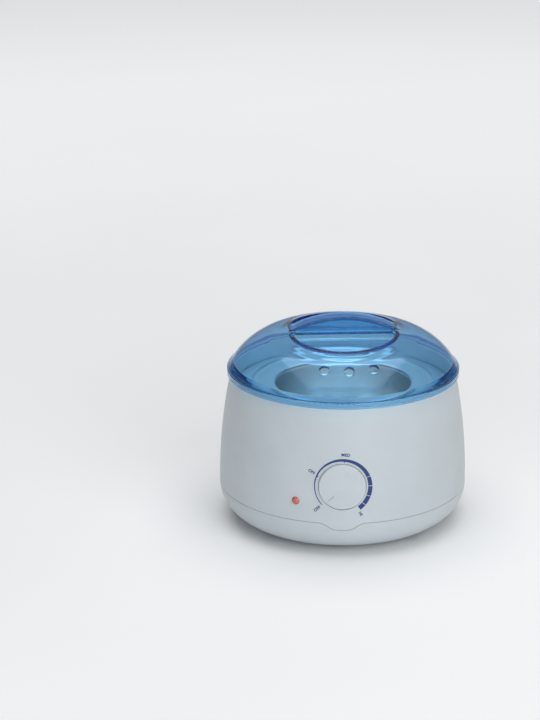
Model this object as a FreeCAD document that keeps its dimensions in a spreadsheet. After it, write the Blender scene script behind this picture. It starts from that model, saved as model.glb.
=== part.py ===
import FreeCAD, Part
import Sketcher
import math
import os
import re

# A tabletop wax heater: moulded housing, heated pot, lift-out container, domed lid and dial thermostat.
# Millimetres. Z is up, the feet stand on Z = 0, the dial faces -Y and the cord inlet faces +Y.

os.makedirs("parts", exist_ok=True)
doc = FreeCAD.newDocument("wax_heater")
sheet = doc.addObject("Spreadsheet::Sheet", "Sizes")

# Driving sizes, one cell each
SIZES = {
    # housing form
    "body_radius": (80.0, "widest radius of the housing"),
    "foot_height": (2.0, "how far the feet lift the housing"),
    "corner_radius": (22.5, "round between the underside and the side"),
    "side_radius": (350.0, "barrel curve of the side"),
    "body_height": (98.5, "underside to the rim"),
    "rim_thickness": (3.0, "thickness of the rim that carries the lid"),
    "rim_round": (0.8, "rounded edges of the rim"),
    "shell_wall": (2.4, "moulded wall"),
    "deck_drop": (12.5, "rim to the deck that carries the heated pot"),
    "deck_ledge": (11.6, "deck under the pot's flange"),
    "overrun": (6.0, "length of a cut beyond what it cuts"),
    # parting line with its front tongue
    "lower_height": (22.2, "underside to the parting line"),
    "seam_gap": (0.3, "visible slit at the parting line"),
    "tongue_drop": (4.6, "dip of the parting line at the front"),
    "tongue_flat": (5.2, "level part of the dip"),
    "flank_run": (12.7, "run of each S-shaped flank of the dip"),
    "lap_height": (3.0, "inner lip that laps the parting line"),
    "lap_clearance": (0.15, "gap beside the inner lip"),
    # screws that hold the two mouldings together
    "column_inset": (16.0, "widest radius to the screw columns"),
    "column_radius": (4.2, "outside radius of a screw column"),
    "post_radius": (4.6, "outside radius of a screw post in the base"),
    "post_rise": (16.6, "floor to where posts and columns meet"),
    "screw_radius": (1.75, "screw shank"),
    "screw_length": (22.0, "screw shank length"),
    "screw_bite": (14.0, "shank length above the meeting plane"),
    "head_radius": (3.2, "screw head"),
    "head_height": (2.2, "screw head height"),
    "thread_clearance": (0.03, "gap between a thread and its hole"),
    "screw_clearance": (0.3, "gap round a screw that passes through"),
    "pilot_spare": (2.0, "depth of a blind hole beyond its screw"),
    # feet and base vents
    "foot_radius": (7.0, "rubber foot"),
    "foot_inset": (10.5, "edge of the flat underside to the middle of a foot"),
    "foot_recess": (0.7, "depth of the seat of a foot"),
    "foot_clearance": (0.1, "gap round a foot in its seat"),
    "foot_round": (0.6, "rounded edge of a foot"),
    "vent_count": (12.0, "slots in the underside"),
    "vent_width": (3.0, "slot width"),
    "vent_inner": (17.0, "inner end of a slot"),
    "vent_length": (14.0, "slot length"),
    # dial seat and knob
    "dial_rise": (24.3, "parting line to the dial axis"),
    "dial_recess_radius": (15.05, "round seat of the knob"),
    "dial_recess_depth": (3.4, "depth of that seat at its middle"),
    "dial_clearance": (0.25, "gap round the knob"),
    "knob_lift": (0.5, "gap under the knob"),
    "knob_edge": (3.9, "height of the knob's edge"),
    "knob_crown": (1.2, "rise of the knob's face"),
    "knob_round": (1.1, "rounded edge of the knob"),
    "knob_wall": (1.6, "wall of the hollow knob"),
    "hub_radius": (5.0, "hub behind the knob"),
    "hub_length": (6.0, "hub length behind the seat"),
    "pointer_width": (1.3, "pointer groove"),
    "pointer_length": (5.4, "pointer groove length"),
    "pointer_margin": (1.6, "pointer groove to the face's edge"),
    "pointer_sink": (1.3, "floor of the pointer groove below the top of the knob"),
    "pointer_angle": (-134.0, "pointer at rest, clockwise from the top, in degrees"),
    # thermostat between the knob and the pot wall
    "bush_gap": (3.6, "knob hub to the thermostat's bush"),
    "shaft_radius": (3.0, "thermostat spindle"),
    "shaft_flat": (2.2, "axis to the spindle's flat"),
    "shaft_grip": (8.2, "spindle length inside the knob"),
    "shaft_clearance": (0.05, "running gap of the spindle"),
    "shaft_seat": (5.0, "spindle depth inside the thermostat"),
    "bush_radius": (5.2, "threaded bush of the thermostat"),
    "bush_length": (4.6, "bush length"),
    "thermostat_width": (24.0, "thermostat body across"),
    "thermostat_tall": (19.0, "thermostat body height"),
    "thermostat_deep": (11.0, "thermostat body depth"),
    "saddle_thickness": (4.0, "saddle between the pot and the thermostat"),
    "saddle_width": (26.0, "saddle across"),
    "saddle_tall": (23.0, "saddle height"),
    "saddle_wing": (6.5, "how far the saddle's sides reach round the pot"),
    "seat_gap": (0.05, "gap of a saddle to the pot wall"),
    "fixing_pitch": (17.0, "pitch of the two thermostat screws"),
    "fixing_radius": (1.25, "thermostat screw shank"),
    "fixing_head_radius": (2.3, "thermostat screw head"),
    "fixing_head_height": (1.6, "thermostat screw head height"),
    "fixing_bite": (3.0, "thermostat screw depth in the saddle"),
    "blade_length": (7.0, "terminal blade length"),
    "blade_width": (5.0, "terminal blade width"),
    "blade_thickness": (0.8, "terminal blade thickness"),
    # heated pot and its gasket
    "pot_wall": (1.5, "spun aluminium wall"),
    "pot_bend": (6.0, "round at the pot's floor"),
    "flange_gap": (1.0, "pot flange to the rim"),
    "gasket_thickness": (1.0, "silicone gasket"),
    "gasket_inset": (1.4, "gasket edge inside the flange edge"),
    "gasket_width": (8.8, "gasket width"),
    # lift-out container
    "container_gap": (0.8, "container to the heated pot"),
    "container_wall": (1.2, "container wall"),
    "container_taper": (1.8, "draw taper of the container"),
    "container_bend": (7.0, "round at the container's floor"),
    "container_step": (9.6, "container flange inside the pot flange"),
    "container_bead": (1.1, "rolled edge of that flange"),
    "mouth_round": (2.4, "rounded mouth"),
    # heater stack between the floor and the pot
    "stud_room": (4.1, "floor to the end of the stud"),
    "stud_radius": (2.0, "middle stud"),
    "stud_tail": (1.5, "stud beyond its last nut"),
    "stud_clearance": (0.25, "gap round the stud"),
    "nut_flats": (7.0, "nut across flats"),
    "nut_height": (3.2, "nut height"),
    "shield_inset": (1.5, "heat shield edge inside the pot wall"),
    "shield_thickness": (0.8, "heat shield sheet"),
    "shield_lip": (4.5, "turned-up edge of the shield"),
    "spacer_wall": (1.4, "spacer tube wall"),
    "spacer_length": (6.6, "spacer tube length"),
    "heater_inset": (8.5, "mica heater edge inside the pot wall"),
    "heater_thickness": (2.0, "mica heater thickness"),
    "clamp_inset": (2.0, "clamping plate edge inside the heater edge"),
    "clamp_thickness": (1.2, "clamping plate thickness"),
    "clamp_rim": (2.5, "turned-down edge of the clamping plate"),
    "tab_out": (3.5, "heater tab's end beyond the pot wall"),
    "tab_width": (5.0, "heater tab width"),
    "tab_angle": (35.0, "first heater tab, degrees"),
    "tab_step": (20.0, "second heater tab beyond the first, degrees"),
    # thermal fuse on the pot wall
    "fuse_standoff": (8.0, "pot wall to the fuse"),
    "fuse_rise": (17.0, "pot floor to the fuse"),
    "fuse_radius": (2.0, "fuse body"),
    "fuse_length": (11.0, "fuse body length"),
    "fuse_lead": (3.5, "lead at each end"),
    "fuse_lead_radius": (0.6, "lead wire"),
    "clip_width": (7.0, "fuse clip along the fuse"),
    "clip_tall": (8.0, "fuse clip height"),
    "clip_wall": (1.4, "clip wall outside the fuse"),
    # indicator
    "lamp_rise": (13.3, "parting line to the indicator"),
    "lamp_angle": (21.4, "indicator to the left of the dial, degrees"),
    "lens_radius": (2.55, "visible lens"),
    "lens_proud": (0.9, "lens standing out of the housing"),
    "lens_clearance": (0.1, "gap round the lens"),
    "lens_flange_radius": (3.6, "flange behind the wall"),
    "lens_flange": (1.4, "flange thickness"),
    "lamp_boss_wall": (1.1, "tube round the lamp holder"),
    "lamp_boss_length": (6.0, "tube length behind the wall"),
    "bulb_radius": (1.6, "glow lamp"),
    "bulb_clearance": (0.1, "gap round the glow lamp"),
    "bulb_length": (9.0, "glow lamp length"),
    "bulb_tip": (3.0, "glow lamp length inside the lens"),
    # cord inlet
    "inlet_rise": (13.8, "parting line to the cord inlet"),
    "inlet_bore_radius": (3.3, "passage for the cord"),
    "inlet_neck_radius": (5.8, "neck through the wall"),
    "inlet_neck_length": (6.2, "neck length"),
    "inlet_collar_radius": (8.5, "collar outside the wall"),
    "inlet_proud": (1.4, "collar standing out"),
    "inlet_spot": (0.9, "flat spot for the collar"),
    "inlet_clearance": (0.1, "gap round the neck"),
    "inlet_nut_flats": (15.0, "inlet nut across flats"),
    "inlet_nut_height": (3.0, "inlet nut height"),
    "inlet_round": (0.9, "rounded edge of the collar"),
    # terminal block
    "block_standoff": (10.5, "pot wall to the middle of the terminal block"),
    "block_length": (12.0, "terminal block along its wires"),
    "block_deep": (11.0, "terminal block depth"),
    "block_pitch": (9.0, "pole pitch"),
    "pad_height": (4.1, "floor to the underside of the terminal block"),
    "pole_rise": (6.0, "underside of the block to its first pole"),
    "pole_radius": (1.6, "wire hole of a pole"),
    "clamp_screw_radius": (1.4, "pole screw"),
    "clamp_screw_proud": (0.4, "pole screw standing out"),
    "peg_radius": (1.9, "peg under the block"),
    "peg_length": (4.0, "peg length"),
    "peg_pad_inset": (1.2, "pad edge inside the block's edge"),
    # wires
    "wire_radius": (1.1, "insulated wire"),
    "wire_entry": (3.0, "wire length inside a pole"),
    "wire_gap": (0.5, "wire end to its terminal"),
    "wire_dip": (4.0, "how far the long wire keeps in from the screw columns"),
    # lid
    "dome_rise": (32.0, "rim to the top of the lid"),
    "lid_wall": (2.0, "lid wall"),
    "lid_overlap": (2.5, "lid band below the housing rim"),
    "lid_clearance": (0.4, "gap between the lid band and the housing"),
    "lid_band": (3.6, "height of the lid band"),
    "band_round": (0.7, "rounded edge of the lid band"),
    "band_ledge": (0.35, "flat between the band and the dome"),
    "lid_seat": (2.0, "width of the ledge that rests on the rim"),
    "dish_depth": (11.0, "top of the lid to the floor of the finger dishes"),
    "ridge_half": (6.0, "half of the grip ridge"),
    "ridge_rise": (2.3, "grip ridge above the dome"),
    "ridge_reach": (35.0, "middle of the lid to where the ridge runs out"),
    "dish_radius": (33.0, "half-moon of a dish in plan"),
    "dish_fillet": (3.0, "round between floor and wall of a dish"),
    "lip_round": (0.9, "rounded lips of the dishes and edges of the ridge"),
    "vent_hole_radius": (3.2, "steam hole in the lid"),
    "vent_offset": (16.0, "edge of a dish to the steam holes"),
    "vent_hole_angle": (16.3, "steam hole pitch, degrees"),
    "lid_turn": (4.0, "how far the lid is turned on the rim at rest, degrees"),
}


def skin(z, inset="0"):
    """Radius of the housing's side at a height, moved inwards by an inset."""
    return f"(side_x + sqrt((side_radius - ({inset})) ^ 2 - (({z}) - corner_z) ^ 2))"


# Sizes that follow from the driving ones, one formula each
FOLLOWS = {
    # heights, from the feet up
    "base_z": "foot_height",
    "floor_top": "base_z + shell_wall",
    "corner_z": "base_z + corner_radius",
    "seam_height": "base_z + lower_height",
    "cap_z": "seam_height + 2 * lap_height + seam_gap",
    "rim_height": "base_z + body_height",
    "deck_height": "rim_height - deck_drop",
    "deck_under": "deck_height - shell_wall",
    "post_height": "floor_top + post_rise",
    "screw_seat": "post_height - screw_length + screw_bite",
    "dial_height": "seam_height + dial_rise",
    "lamp_height": "seam_height + lamp_rise",
    "inlet_height": "seam_height + inlet_rise",
    "block_foot": "floor_top + pad_height",
    "stud_foot": "floor_top + stud_room",
    "shield_under": "stud_foot + stud_tail + nut_height",
    "shield_top": "shield_under + shield_thickness",
    "spacer_top": "shield_top + spacer_length",
    "clamp_under": "spacer_top + nut_height",
    "heater_under": "clamp_under + clamp_thickness",
    "pot_floor_height": "heater_under + heater_thickness",
    "container_floor": "pot_floor_height + pot_wall + container_gap",
    "fuse_height": "pot_floor_height + fuse_rise",
    "flange_under": "deck_height + gasket_thickness",
    "flange_top": "flange_under + pot_wall",
    # housing
    "flat_radius": "body_radius - corner_radius",
    "side_x": "body_radius - side_radius",
    "reach": "body_radius + corner_radius",
    "half_wall": "shell_wall / 2",
    "lip_inset": "half_wall + lap_clearance",
    "flank_radius": "(flank_run ^ 2 + tongue_drop ^ 2) / 4 / tongue_drop",
    "rim_radius": skin("rim_height"),
    "rim_inner": "rim_radius - rim_thickness",
    "rim_side": skin("rim_height - rim_round"),
    "column_x": "(body_radius - column_inset) * sqrt(0.5)",
    "foot_x": "(flat_radius - foot_inset) * sqrt(0.5)",
    "vent_outer": "vent_inner + vent_length",
    # from the dial inwards to the pot
    "dial_skin": skin("dial_height"),
    "dial_floor": "dial_skin - dial_recess_depth",
    "hub_end": "dial_floor - hub_length",
    "shaft_end": "hub_end + shaft_grip",
    "knob_radius": "dial_recess_radius - dial_clearance",
    "knob_face": "knob_lift + knob_edge",
    "crown_run": "knob_radius - knob_round",
    "crown_radius": "(crown_run ^ 2 + knob_crown ^ 2) / 2 / knob_crown",
    "thermostat_front": "hub_end - bush_gap - bush_length",
    "saddle_front": "thermostat_front - thermostat_deep",
    "blade_y": "saddle_front + thermostat_deep / 2",
    "blade_end": "thermostat_width / 2 + blade_length",
    "pot_radius": "saddle_front - saddle_thickness",
    # pot, container and heater
    "pot_flange": "rim_inner - flange_gap",
    "deck_hole_radius": "pot_flange - deck_ledge",
    "gasket_outer": "pot_flange - gasket_inset",
    "gasket_inner": "gasket_outer - gasket_width",
    "container_top_radius": "pot_radius - pot_wall - container_gap",
    "container_foot_radius": "container_top_radius - container_taper",
    "container_flange": "pot_flange - container_step",
    "stud_hole": "stud_radius + stud_clearance",
    "heater_radius": "pot_radius - heater_inset",
    "clamp_radius": "heater_radius - clamp_inset",
    "shield_radius": "pot_radius - shield_inset",
    "tab_end": "pot_radius + tab_out",
    "fuse_distance": "pot_radius + fuse_standoff",
    "fuse_end": "fuse_length / 2 + fuse_lead",
    "block_distance": "pot_radius + block_standoff",
    "block_back": "block_distance + block_deep / 2",
    "block_tall": "2 * block_pitch",
    # indicator and cord inlet
    "lamp_skin": skin("lamp_height"),
    "lamp_back": "lamp_skin - shell_wall - lamp_boss_length",
    "lamp_inside": "lamp_skin - shell_wall - lens_flange",
    "inlet_skin": skin("inlet_height"),
    "inlet_seat": "inlet_skin - inlet_spot",
    "inlet_nut_face": "inlet_seat - shell_wall",
    # lid
    "lid_height": "rim_height + dome_rise",
    "band_bottom": "rim_height - lid_overlap",
    "band_top": "band_bottom + lid_band",
    "band_inner": skin("band_bottom") + " + lid_clearance",
    "band_outer": "band_inner + lid_wall",
    "lid_seat_radius": "rim_radius - lid_seat",
    "dome_edge": "band_outer - band_round - band_ledge",
    "dome_tall": "lid_height - band_top",
    "dome_radius": "(dome_edge ^ 2 + dome_tall ^ 2) / 2 / dome_tall",
    "dome_z": "lid_height - dome_radius",
    "dish_floor": "lid_height - dish_depth",
    "crest_height": "lid_height + ridge_rise",
    "crest_drop": "crest_height - dome_z - sqrt(dome_radius ^ 2 - ridge_reach ^ 2)",
    "crest_radius": "(ridge_reach ^ 2 + crest_drop ^ 2) / 2 / crest_drop",
    "crest_z": "crest_height - crest_radius",
    "vent_hole_distance": "ridge_half + dish_radius + vent_offset",
}

for row, (alias, (value, note)) in enumerate(SIZES.items(), start=1):
    sheet.set(f"A{row}", str(value))
    sheet.setAlias(f"A{row}", alias)
    sheet.set(f"B{row}", note)
for row, alias in enumerate(FOLLOWS, start=1):
    sheet.setAlias(f"D{row}", alias)
for row, formula in enumerate(FOLLOWS.values(), start=1):
    sheet.set(f"D{row}", "=" + formula)
doc.recompute()

FUNCTIONS = ("sqrt", "sin", "cos", "asin")


def size(text):
    """A formula on named sizes, as an expression on the sheet."""
    def swap(match):
        word = match.group(0)
        return word if word in FUNCTIONS else "Sizes." + word
    return re.sub(r"[a-z_]+", swap, text)


def number(text):
    """The value that a formula has now."""
    return float(sheet.evalExpression(size(text)))


# Drawing helpers: each one binds its sizes to the sheet

UP = FreeCAD.Rotation()
DOWN = FreeCAD.Rotation(FreeCAD.Vector(1, 0, 0), 180)
FRONT = FreeCAD.Rotation(FreeCAD.Vector(1, 0, 0), 90)
REAR = FreeCAD.Rotation(FreeCAD.Vector(1, 0, 0), -90)
RIGHT = FreeCAD.Rotation(FreeCAD.Vector(0, 1, 0), 90)
AXIS_Z = FreeCAD.Vector(0, 0, 1)
AXIS_X = FreeCAD.Vector(1, 0, 0)
AXIS_Y = FreeCAD.Vector(0, 1, 0)


def bind(item, **formulas):
    """Ties properties of an object to formulas."""
    for name, text in formulas.items():
        item.setExpression(name, size(text))
    return item


def place(item, x="0", y="0", z="0", turn=UP):
    """Turns an object and ties its place to formulas."""
    item.Placement = FreeCAD.Placement(FreeCAD.Vector(number(x), number(y), number(z)), turn)
    for axis, text in (("x", x), ("y", y), ("z", z)):
        item.setExpression(f"Placement.Base.{axis}", size(text))
    return item


def plane(body, role):
    """One of the base planes of a body."""
    return [item for item in body.Origin.OriginFeatures if item.Role == role][0]


def draw(body, name, role, outline):
    """A closed sketch. Each corner is (x, y) or (x, y, radius, side) where an arc leads to the next corner;
    side is 1 for an arc that turns left and -1 for one that turns right."""
    sketch = body.newObject("Sketcher::SketchObject", name)
    sketch.AttachmentSupport = (plane(body, role), [""])
    sketch.MapMode = "FlatFace"
    corners = [FreeCAD.Vector(number(spot[0]), number(spot[1]), 0) for spot in outline]
    ends = []
    for index, spot in enumerate(outline):
        here = corners[index]
        there = corners[(index + 1) % len(corners)]
        if len(spot) == 2:
            sketch.addGeometry(Part.LineSegment(here, there))
            ends.append((1, 2))
            continue
        radius = number(spot[2])
        chord = there - here
        left = FreeCAD.Vector(-chord.y, chord.x, 0).normalize()
        rise = math.sqrt(max(radius ** 2 - (chord.Length / 2) ** 2, 0))
        middle = (here + there) * 0.5 + left * rise * spot[3]
        start, stop = (here, there) if spot[3] > 0 else (there, here)
        first = math.atan2(start.y - middle.y, start.x - middle.x)
        last = math.atan2(stop.y - middle.y, stop.x - middle.x)
        sketch.addGeometry(Part.ArcOfCircle(Part.Circle(middle, AXIS_Z, radius), first, last))
        ends.append((1, 2) if spot[3] > 0 else (2, 1))
    for index, spot in enumerate(outline):
        before = index - 1 if index else len(outline) - 1
        sketch.addConstraint(Sketcher.Constraint("Coincident", before, ends[before][1], index, ends[index][0]))
        for kind, formula in (("DistanceX", spot[0]), ("DistanceY", spot[1])):
            tie = Sketcher.Constraint(kind, -1, 1, index, ends[index][0], number(formula))
            sketch.setExpression(f"Constraints[{sketch.addConstraint(tie)}]", size(formula))
        if len(spot) > 2:
            rule = sketch.addConstraint(Sketcher.Constraint("Radius", index, number(spot[2])))
            sketch.setExpression(f"Constraints[{rule}]", size(spot[2]))
    return sketch


def lathe(name, outline):
    """A body turned about Z from half of its section, drawn as (radius, height)."""
    body = doc.addObject("PartDesign::Body", name)
    sketch = draw(body, name + "_section", "XZ_Plane", outline)
    turn = body.newObject("PartDesign::Revolution", name + "_turn")
    turn.Profile = sketch
    turn.ReferenceAxis = (sketch, ["V_Axis"])
    turn.Angle = 360
    sketch.Visibility = False
    return body


def drum(name, radius, length, x="0", y="0", z="0", turn=UP):
    """A cylinder that starts at a point."""
    item = bind(doc.addObject("Part::Cylinder", name), Radius=radius, Height=length)
    return place(item, x, y, z, turn)


def block(name, length, width, height, x="0", y="0", z="0", turn=UP):
    """A box from its lowest corner."""
    item = bind(doc.addObject("Part::Box", name), Length=length, Width=width, Height=height)
    return place(item, x, y, z, turn)


def hexagon(name, flats, height, x="0", y="0", z="0", turn=UP):
    """A hexagonal prism."""
    item = doc.addObject("Part::Prism", name)
    item.Polygon = 6
    bind(item, Circumradius=f"({flats}) / sqrt(3)", Height=height)
    return place(item, x, y, z, turn)


def cut(name, base, *tools):
    """One solid less others."""
    item = doc.addObject("Part::Cut", name)
    item.Base = base
    item.Tool = tools[0] if len(tools) == 1 else group(name + "_tools", *tools)
    item.Refine = True
    return item


def join(name, *shapes):
    """Solids made one."""
    item = doc.addObject("Part::MultiFuse", name)
    item.Shapes = list(shapes)
    item.Refine = True
    return item


def overlap(name, *shapes):
    """What solids share."""
    item = doc.addObject("Part::MultiCommon", name)
    item.Shapes = list(shapes)
    item.Refine = True
    return item


def group(name, *shapes):
    """Separate solids in one object."""
    item = doc.addObject("Part::Compound", name)
    item.Links = list(shapes)
    return item


def mirror(name, source, normal):
    """The reflection of an object in a middle plane."""
    item = doc.addObject("Part::Mirroring", name)
    item.Source = source
    item.Normal = normal
    return item


def four(name, source):
    """An object and its reflections to the other three quarters."""
    left = mirror(name + "_left", source, AXIS_X)
    rear = mirror(name + "_far", source, AXIS_Y)
    both = mirror(name + "_far_left", left, AXIS_Y)
    return group(name, source, left, rear, both)


NODES = {}


def node(name, item):
    """Names an object as one finished piece."""
    item.Label = name
    NODES[name] = item
    return item


# Housing skin, cut apart along the parting line with its front tongue

body_solid = lathe("body_solid", [
    ("0", "base_z"),
    ("flat_radius", "base_z", "corner_radius", 1),
    ("body_radius", "corner_z", "side_radius", 1),
    ("rim_radius", "rim_height"),
    ("0", "rim_height"),
])
upper_skin = lathe("upper_skin", [
    ("flat_radius", "base_z", "corner_radius", 1),
    ("body_radius", "corner_z", "side_radius", 1),
    ("rim_side", "rim_height - rim_round", "rim_round", 1),
    ("rim_side - rim_round", "rim_height"),
    ("rim_inner + rim_round", "rim_height", "rim_round", 1),
    ("rim_inner", "rim_height - rim_round"),
    ("rim_inner", "deck_height"),
    ("deck_hole_radius", "deck_height"),
    ("deck_hole_radius", "deck_under"),
    (skin("deck_under", "shell_wall"), "deck_under", "side_radius - shell_wall", -1),
    ("body_radius - shell_wall", "corner_z", "corner_radius - shell_wall", -1),
    ("flat_radius", "base_z + shell_wall"),
])
lower_skin = lathe("lower_skin", [
    ("0", "base_z"),
    ("flat_radius", "base_z", "corner_radius", 1),
    ("body_radius", "corner_z", "side_radius", 1),
    (skin("cap_z"), "cap_z"),
    (skin("cap_z", "shell_wall"), "cap_z", "side_radius - shell_wall", -1),
    ("body_radius - shell_wall", "corner_z", "corner_radius - shell_wall", -1),
    ("flat_radius", "base_z + shell_wall"),
    ("0", "base_z + shell_wall"),
])
vent_slot = draw(lower_skin, "vent_slot", "XY_Plane", [
    ("vent_inner", "-vent_width / 2"),
    ("vent_outer", "-vent_width / 2", "vent_width / 2", 1),
    ("vent_outer + vent_width / 2", "0", "vent_width / 2", 1),
    ("vent_outer", "vent_width / 2"),
    ("vent_inner", "vent_width / 2", "vent_width / 2", 1),
    ("vent_inner - vent_width / 2", "0", "vent_width / 2", 1),
])
vent_cut = lower_skin.newObject("PartDesign::Pocket", "vent_cut")
vent_cut.Profile = vent_slot
vent_cut.Type = "ThroughAll"
vent_cut.Midplane = True
vent_ring = lower_skin.newObject("PartDesign::PolarPattern", "vent_ring")
vent_ring.Originals = [vent_cut]
vent_ring.Axis = (vent_slot, ["N_Axis"])
vent_ring.Angle = 360
bind(vent_ring, Occurrences="vent_count")
lower_skin.Tip = vent_ring
lip_skin = lathe("lip_skin", [
    ("flat_radius", "base_z + lip_inset", "corner_radius - lip_inset", 1),
    ("body_radius - lip_inset", "corner_z", "side_radius - lip_inset", 1),
    (skin("cap_z", "lip_inset"), "cap_z"),
    (skin("cap_z", "shell_wall"), "cap_z", "side_radius - shell_wall", -1),
    ("body_radius - shell_wall", "corner_z", "corner_radius - shell_wall", -1),
    ("flat_radius", "base_z + shell_wall"),
])
mid_solid = lathe("mid_solid", [
    ("0", "base_z + half_wall"),
    ("flat_radius", "base_z + half_wall", "corner_radius - half_wall", 1),
    ("body_radius - half_wall", "corner_z", "side_radius - half_wall", 1),
    (skin("cap_z", "half_wall"), "cap_z"),
    ("0", "cap_z"),
])


def below_seam(name, lift):
    """Everything below the parting line, moved up by a lift: the tongue is at the front only."""
    body = doc.addObject("PartDesign::Body", name)
    top = f"(seam_height + {lift})"
    dip = f"({top} - tongue_drop)"
    half = f"({top} - tongue_drop / 2)"
    inner = "(tongue_flat / 2)"
    middle = "(tongue_flat / 2 + flank_run / 2)"
    outer = "(tongue_flat / 2 + flank_run)"
    front = draw(body, name + "_front_line", "XZ_Plane", [
        ("-reach", "0"),
        ("reach", "0"),
        ("reach", top),
        (outer, top, "flank_radius", 1),
        (middle, half, "flank_radius", -1),
        (inner, dip),
        ("-" + inner, dip, "flank_radius", -1),
        ("-" + middle, half, "flank_radius", 1),
        ("-" + outer, top),
        ("-reach", top),
    ])
    rear = draw(body, name + "_rear_line", "XZ_Plane", [
        ("-reach", "0"),
        ("reach", "0"),
        ("reach", top),
        ("-reach", top),
    ])
    for sketch, backwards in ((front, False), (rear, True)):
        pad = body.newObject("PartDesign::Pad", sketch.Name + "_pad")
        pad.Profile = sketch
        pad.Reversed = backwards
        bind(pad, Length="reach")
        sketch.Visibility = False
        body.Tip = pad
    return body


below_edge = below_seam("below_edge", "0")
below_slit = below_seam("below_slit", "seam_gap")
below_lip = below_seam("below_lip", "lap_height")
below_rebate = below_seam("below_rebate", "lap_height + seam_gap")

# Lower housing: floor with posts, foot seats, the block's pad and the lapping lip

post = drum("post", "post_radius", "post_height", "column_x", "column_x", "0")
post_bore = drum("post_bore", "screw_radius + screw_clearance", "rim_height", "column_x", "column_x", "0")
post_sink = drum("post_sink", "head_radius + screw_clearance", "screw_seat", "column_x", "column_x", "0")
foot_seat = drum("foot_seat", "foot_radius + foot_clearance", "base_z + foot_recess", "foot_x", "foot_x", "0")
pad_x = "(block_length / 2 - peg_pad_inset)"
pad_y = "(block_deep / 2 - peg_pad_inset)"
block_pad = block("block_pad", f"2 * {pad_x}", f"2 * {pad_y}", "block_foot",
                  f"-{pad_x}", f"block_distance - {pad_y}", "0")
block_peg = drum("block_peg", "peg_radius", "block_foot + peg_length", "0", "block_distance", "0")
floor_blanks = group("floor_blanks", four("posts", post), block_pad, block_peg)
floor_parts = overlap("floor_parts", floor_blanks, body_solid)
lower_shell = overlap("lower_shell", lower_skin, below_edge)
lower_lip = overlap("lower_lip", lip_skin, below_lip)
lower_blank = join("lower_blank", lower_shell, lower_lip, floor_parts)
post_bores = four("post_bores", post_bore)
post_sinks = four("post_sinks", post_sink)
foot_seats = four("foot_seats", foot_seat)
node("lower_housing", cut("lower_part", lower_blank, post_bores, post_sinks, foot_seats))

foot = lathe("foot", [
    ("0", "0"),
    ("foot_radius - foot_round", "0", "foot_round", 1),
    ("foot_radius", "foot_round"),
    ("foot_radius", "base_z + foot_recess"),
    ("0", "base_z + foot_recess"),
])
place(foot, "foot_x", "foot_x", "0")
node("rubber_feet", four("feet", foot))

screw = lathe("screw", [
    ("0", "screw_seat - head_height"),
    ("head_radius", "screw_seat - head_height"),
    ("head_radius", "screw_seat"),
    ("screw_radius", "screw_seat"),
    ("screw_radius", "screw_seat + screw_length - screw_radius"),
    ("0", "screw_seat + screw_length"),
])
place(screw, "column_x", "column_x", "0")
node("housing_screws", four("screws", screw))

# Upper housing: barrel skin with deck and rim, screw columns, dial seat, lamp tube and cord inlet

column = drum("column", "column_radius", "deck_height - post_height", "column_x", "column_x", "post_height")
pilot = drum("pilot", "screw_radius + thread_clearance", "screw_bite + pilot_spare",
             "column_x", "column_x", "post_height")
dial_boss = drum("dial_boss", "dial_recess_radius + shell_wall", "body_radius",
                 "0", "-(dial_floor - shell_wall)", "dial_height", FRONT)
dial_recess = drum("dial_recess", "dial_recess_radius", "body_radius", "0", "-dial_floor", "dial_height", FRONT)
dial_hole = drum("dial_hole", "hub_radius + dial_clearance", "shell_wall + 2 * overrun",
                 "0", "-(dial_floor - shell_wall - overrun)", "dial_height", FRONT)
LAMP_TURN = FreeCAD.Rotation(AXIS_Z, -number("lamp_angle")) * FRONT


def lamp_drum(name, radius, start, length):
    """A cylinder on the indicator's axis, from a distance to the heater's axis outwards."""
    x = f"-({start}) * sin(lamp_angle)"
    y = f"-({start}) * cos(lamp_angle)"
    return drum(name, radius, length, x, y, "lamp_height", LAMP_TURN)


lamp_tube = lamp_drum("lamp_tube", "lens_flange_radius + lens_clearance + lamp_boss_wall",
                      "lamp_back", "lamp_boss_length + half_wall")
lamp_bore = lamp_drum("lamp_bore", "lens_flange_radius + lens_clearance",
                      "lamp_back - overrun", "lamp_boss_length + overrun - lens_clearance")
lens_hole = lamp_drum("lens_hole", "lens_radius + lens_clearance",
                      "lamp_back", "lamp_boss_length + 2 * overrun")
inlet_hole = drum("inlet_hole", "inlet_neck_radius + inlet_clearance", "shell_wall + 3 * overrun",
                  "0", "inlet_nut_face - overrun", "inlet_height", REAR)
inlet_flat = drum("inlet_flat", "inlet_collar_radius + inlet_clearance", "overrun",
                  "0", "inlet_seat", "inlet_height", REAR)
upper_shell = cut("upper_shell", upper_skin, below_slit)
upper_rebate = overlap("upper_rebate", mid_solid, below_rebate)
upper_edge = cut("upper_edge", upper_shell, upper_rebate)
upper_bosses = cut("upper_bosses", group("boss_blanks", dial_boss, lamp_tube), below_rebate)
upper_blanks = group("upper_blanks", four("columns", column), upper_bosses)
upper_extras = overlap("upper_extras", upper_blanks, body_solid)
upper_blank = join("upper_blank", upper_edge, upper_extras)
upper_cuts = (four("pilots", pilot), dial_recess, dial_hole, lamp_bore, lens_hole, inlet_hole, inlet_flat)
node("upper_housing", cut("upper_part", upper_blank, *upper_cuts))

# Heated pot, its gasket and the lift-out container

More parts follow.
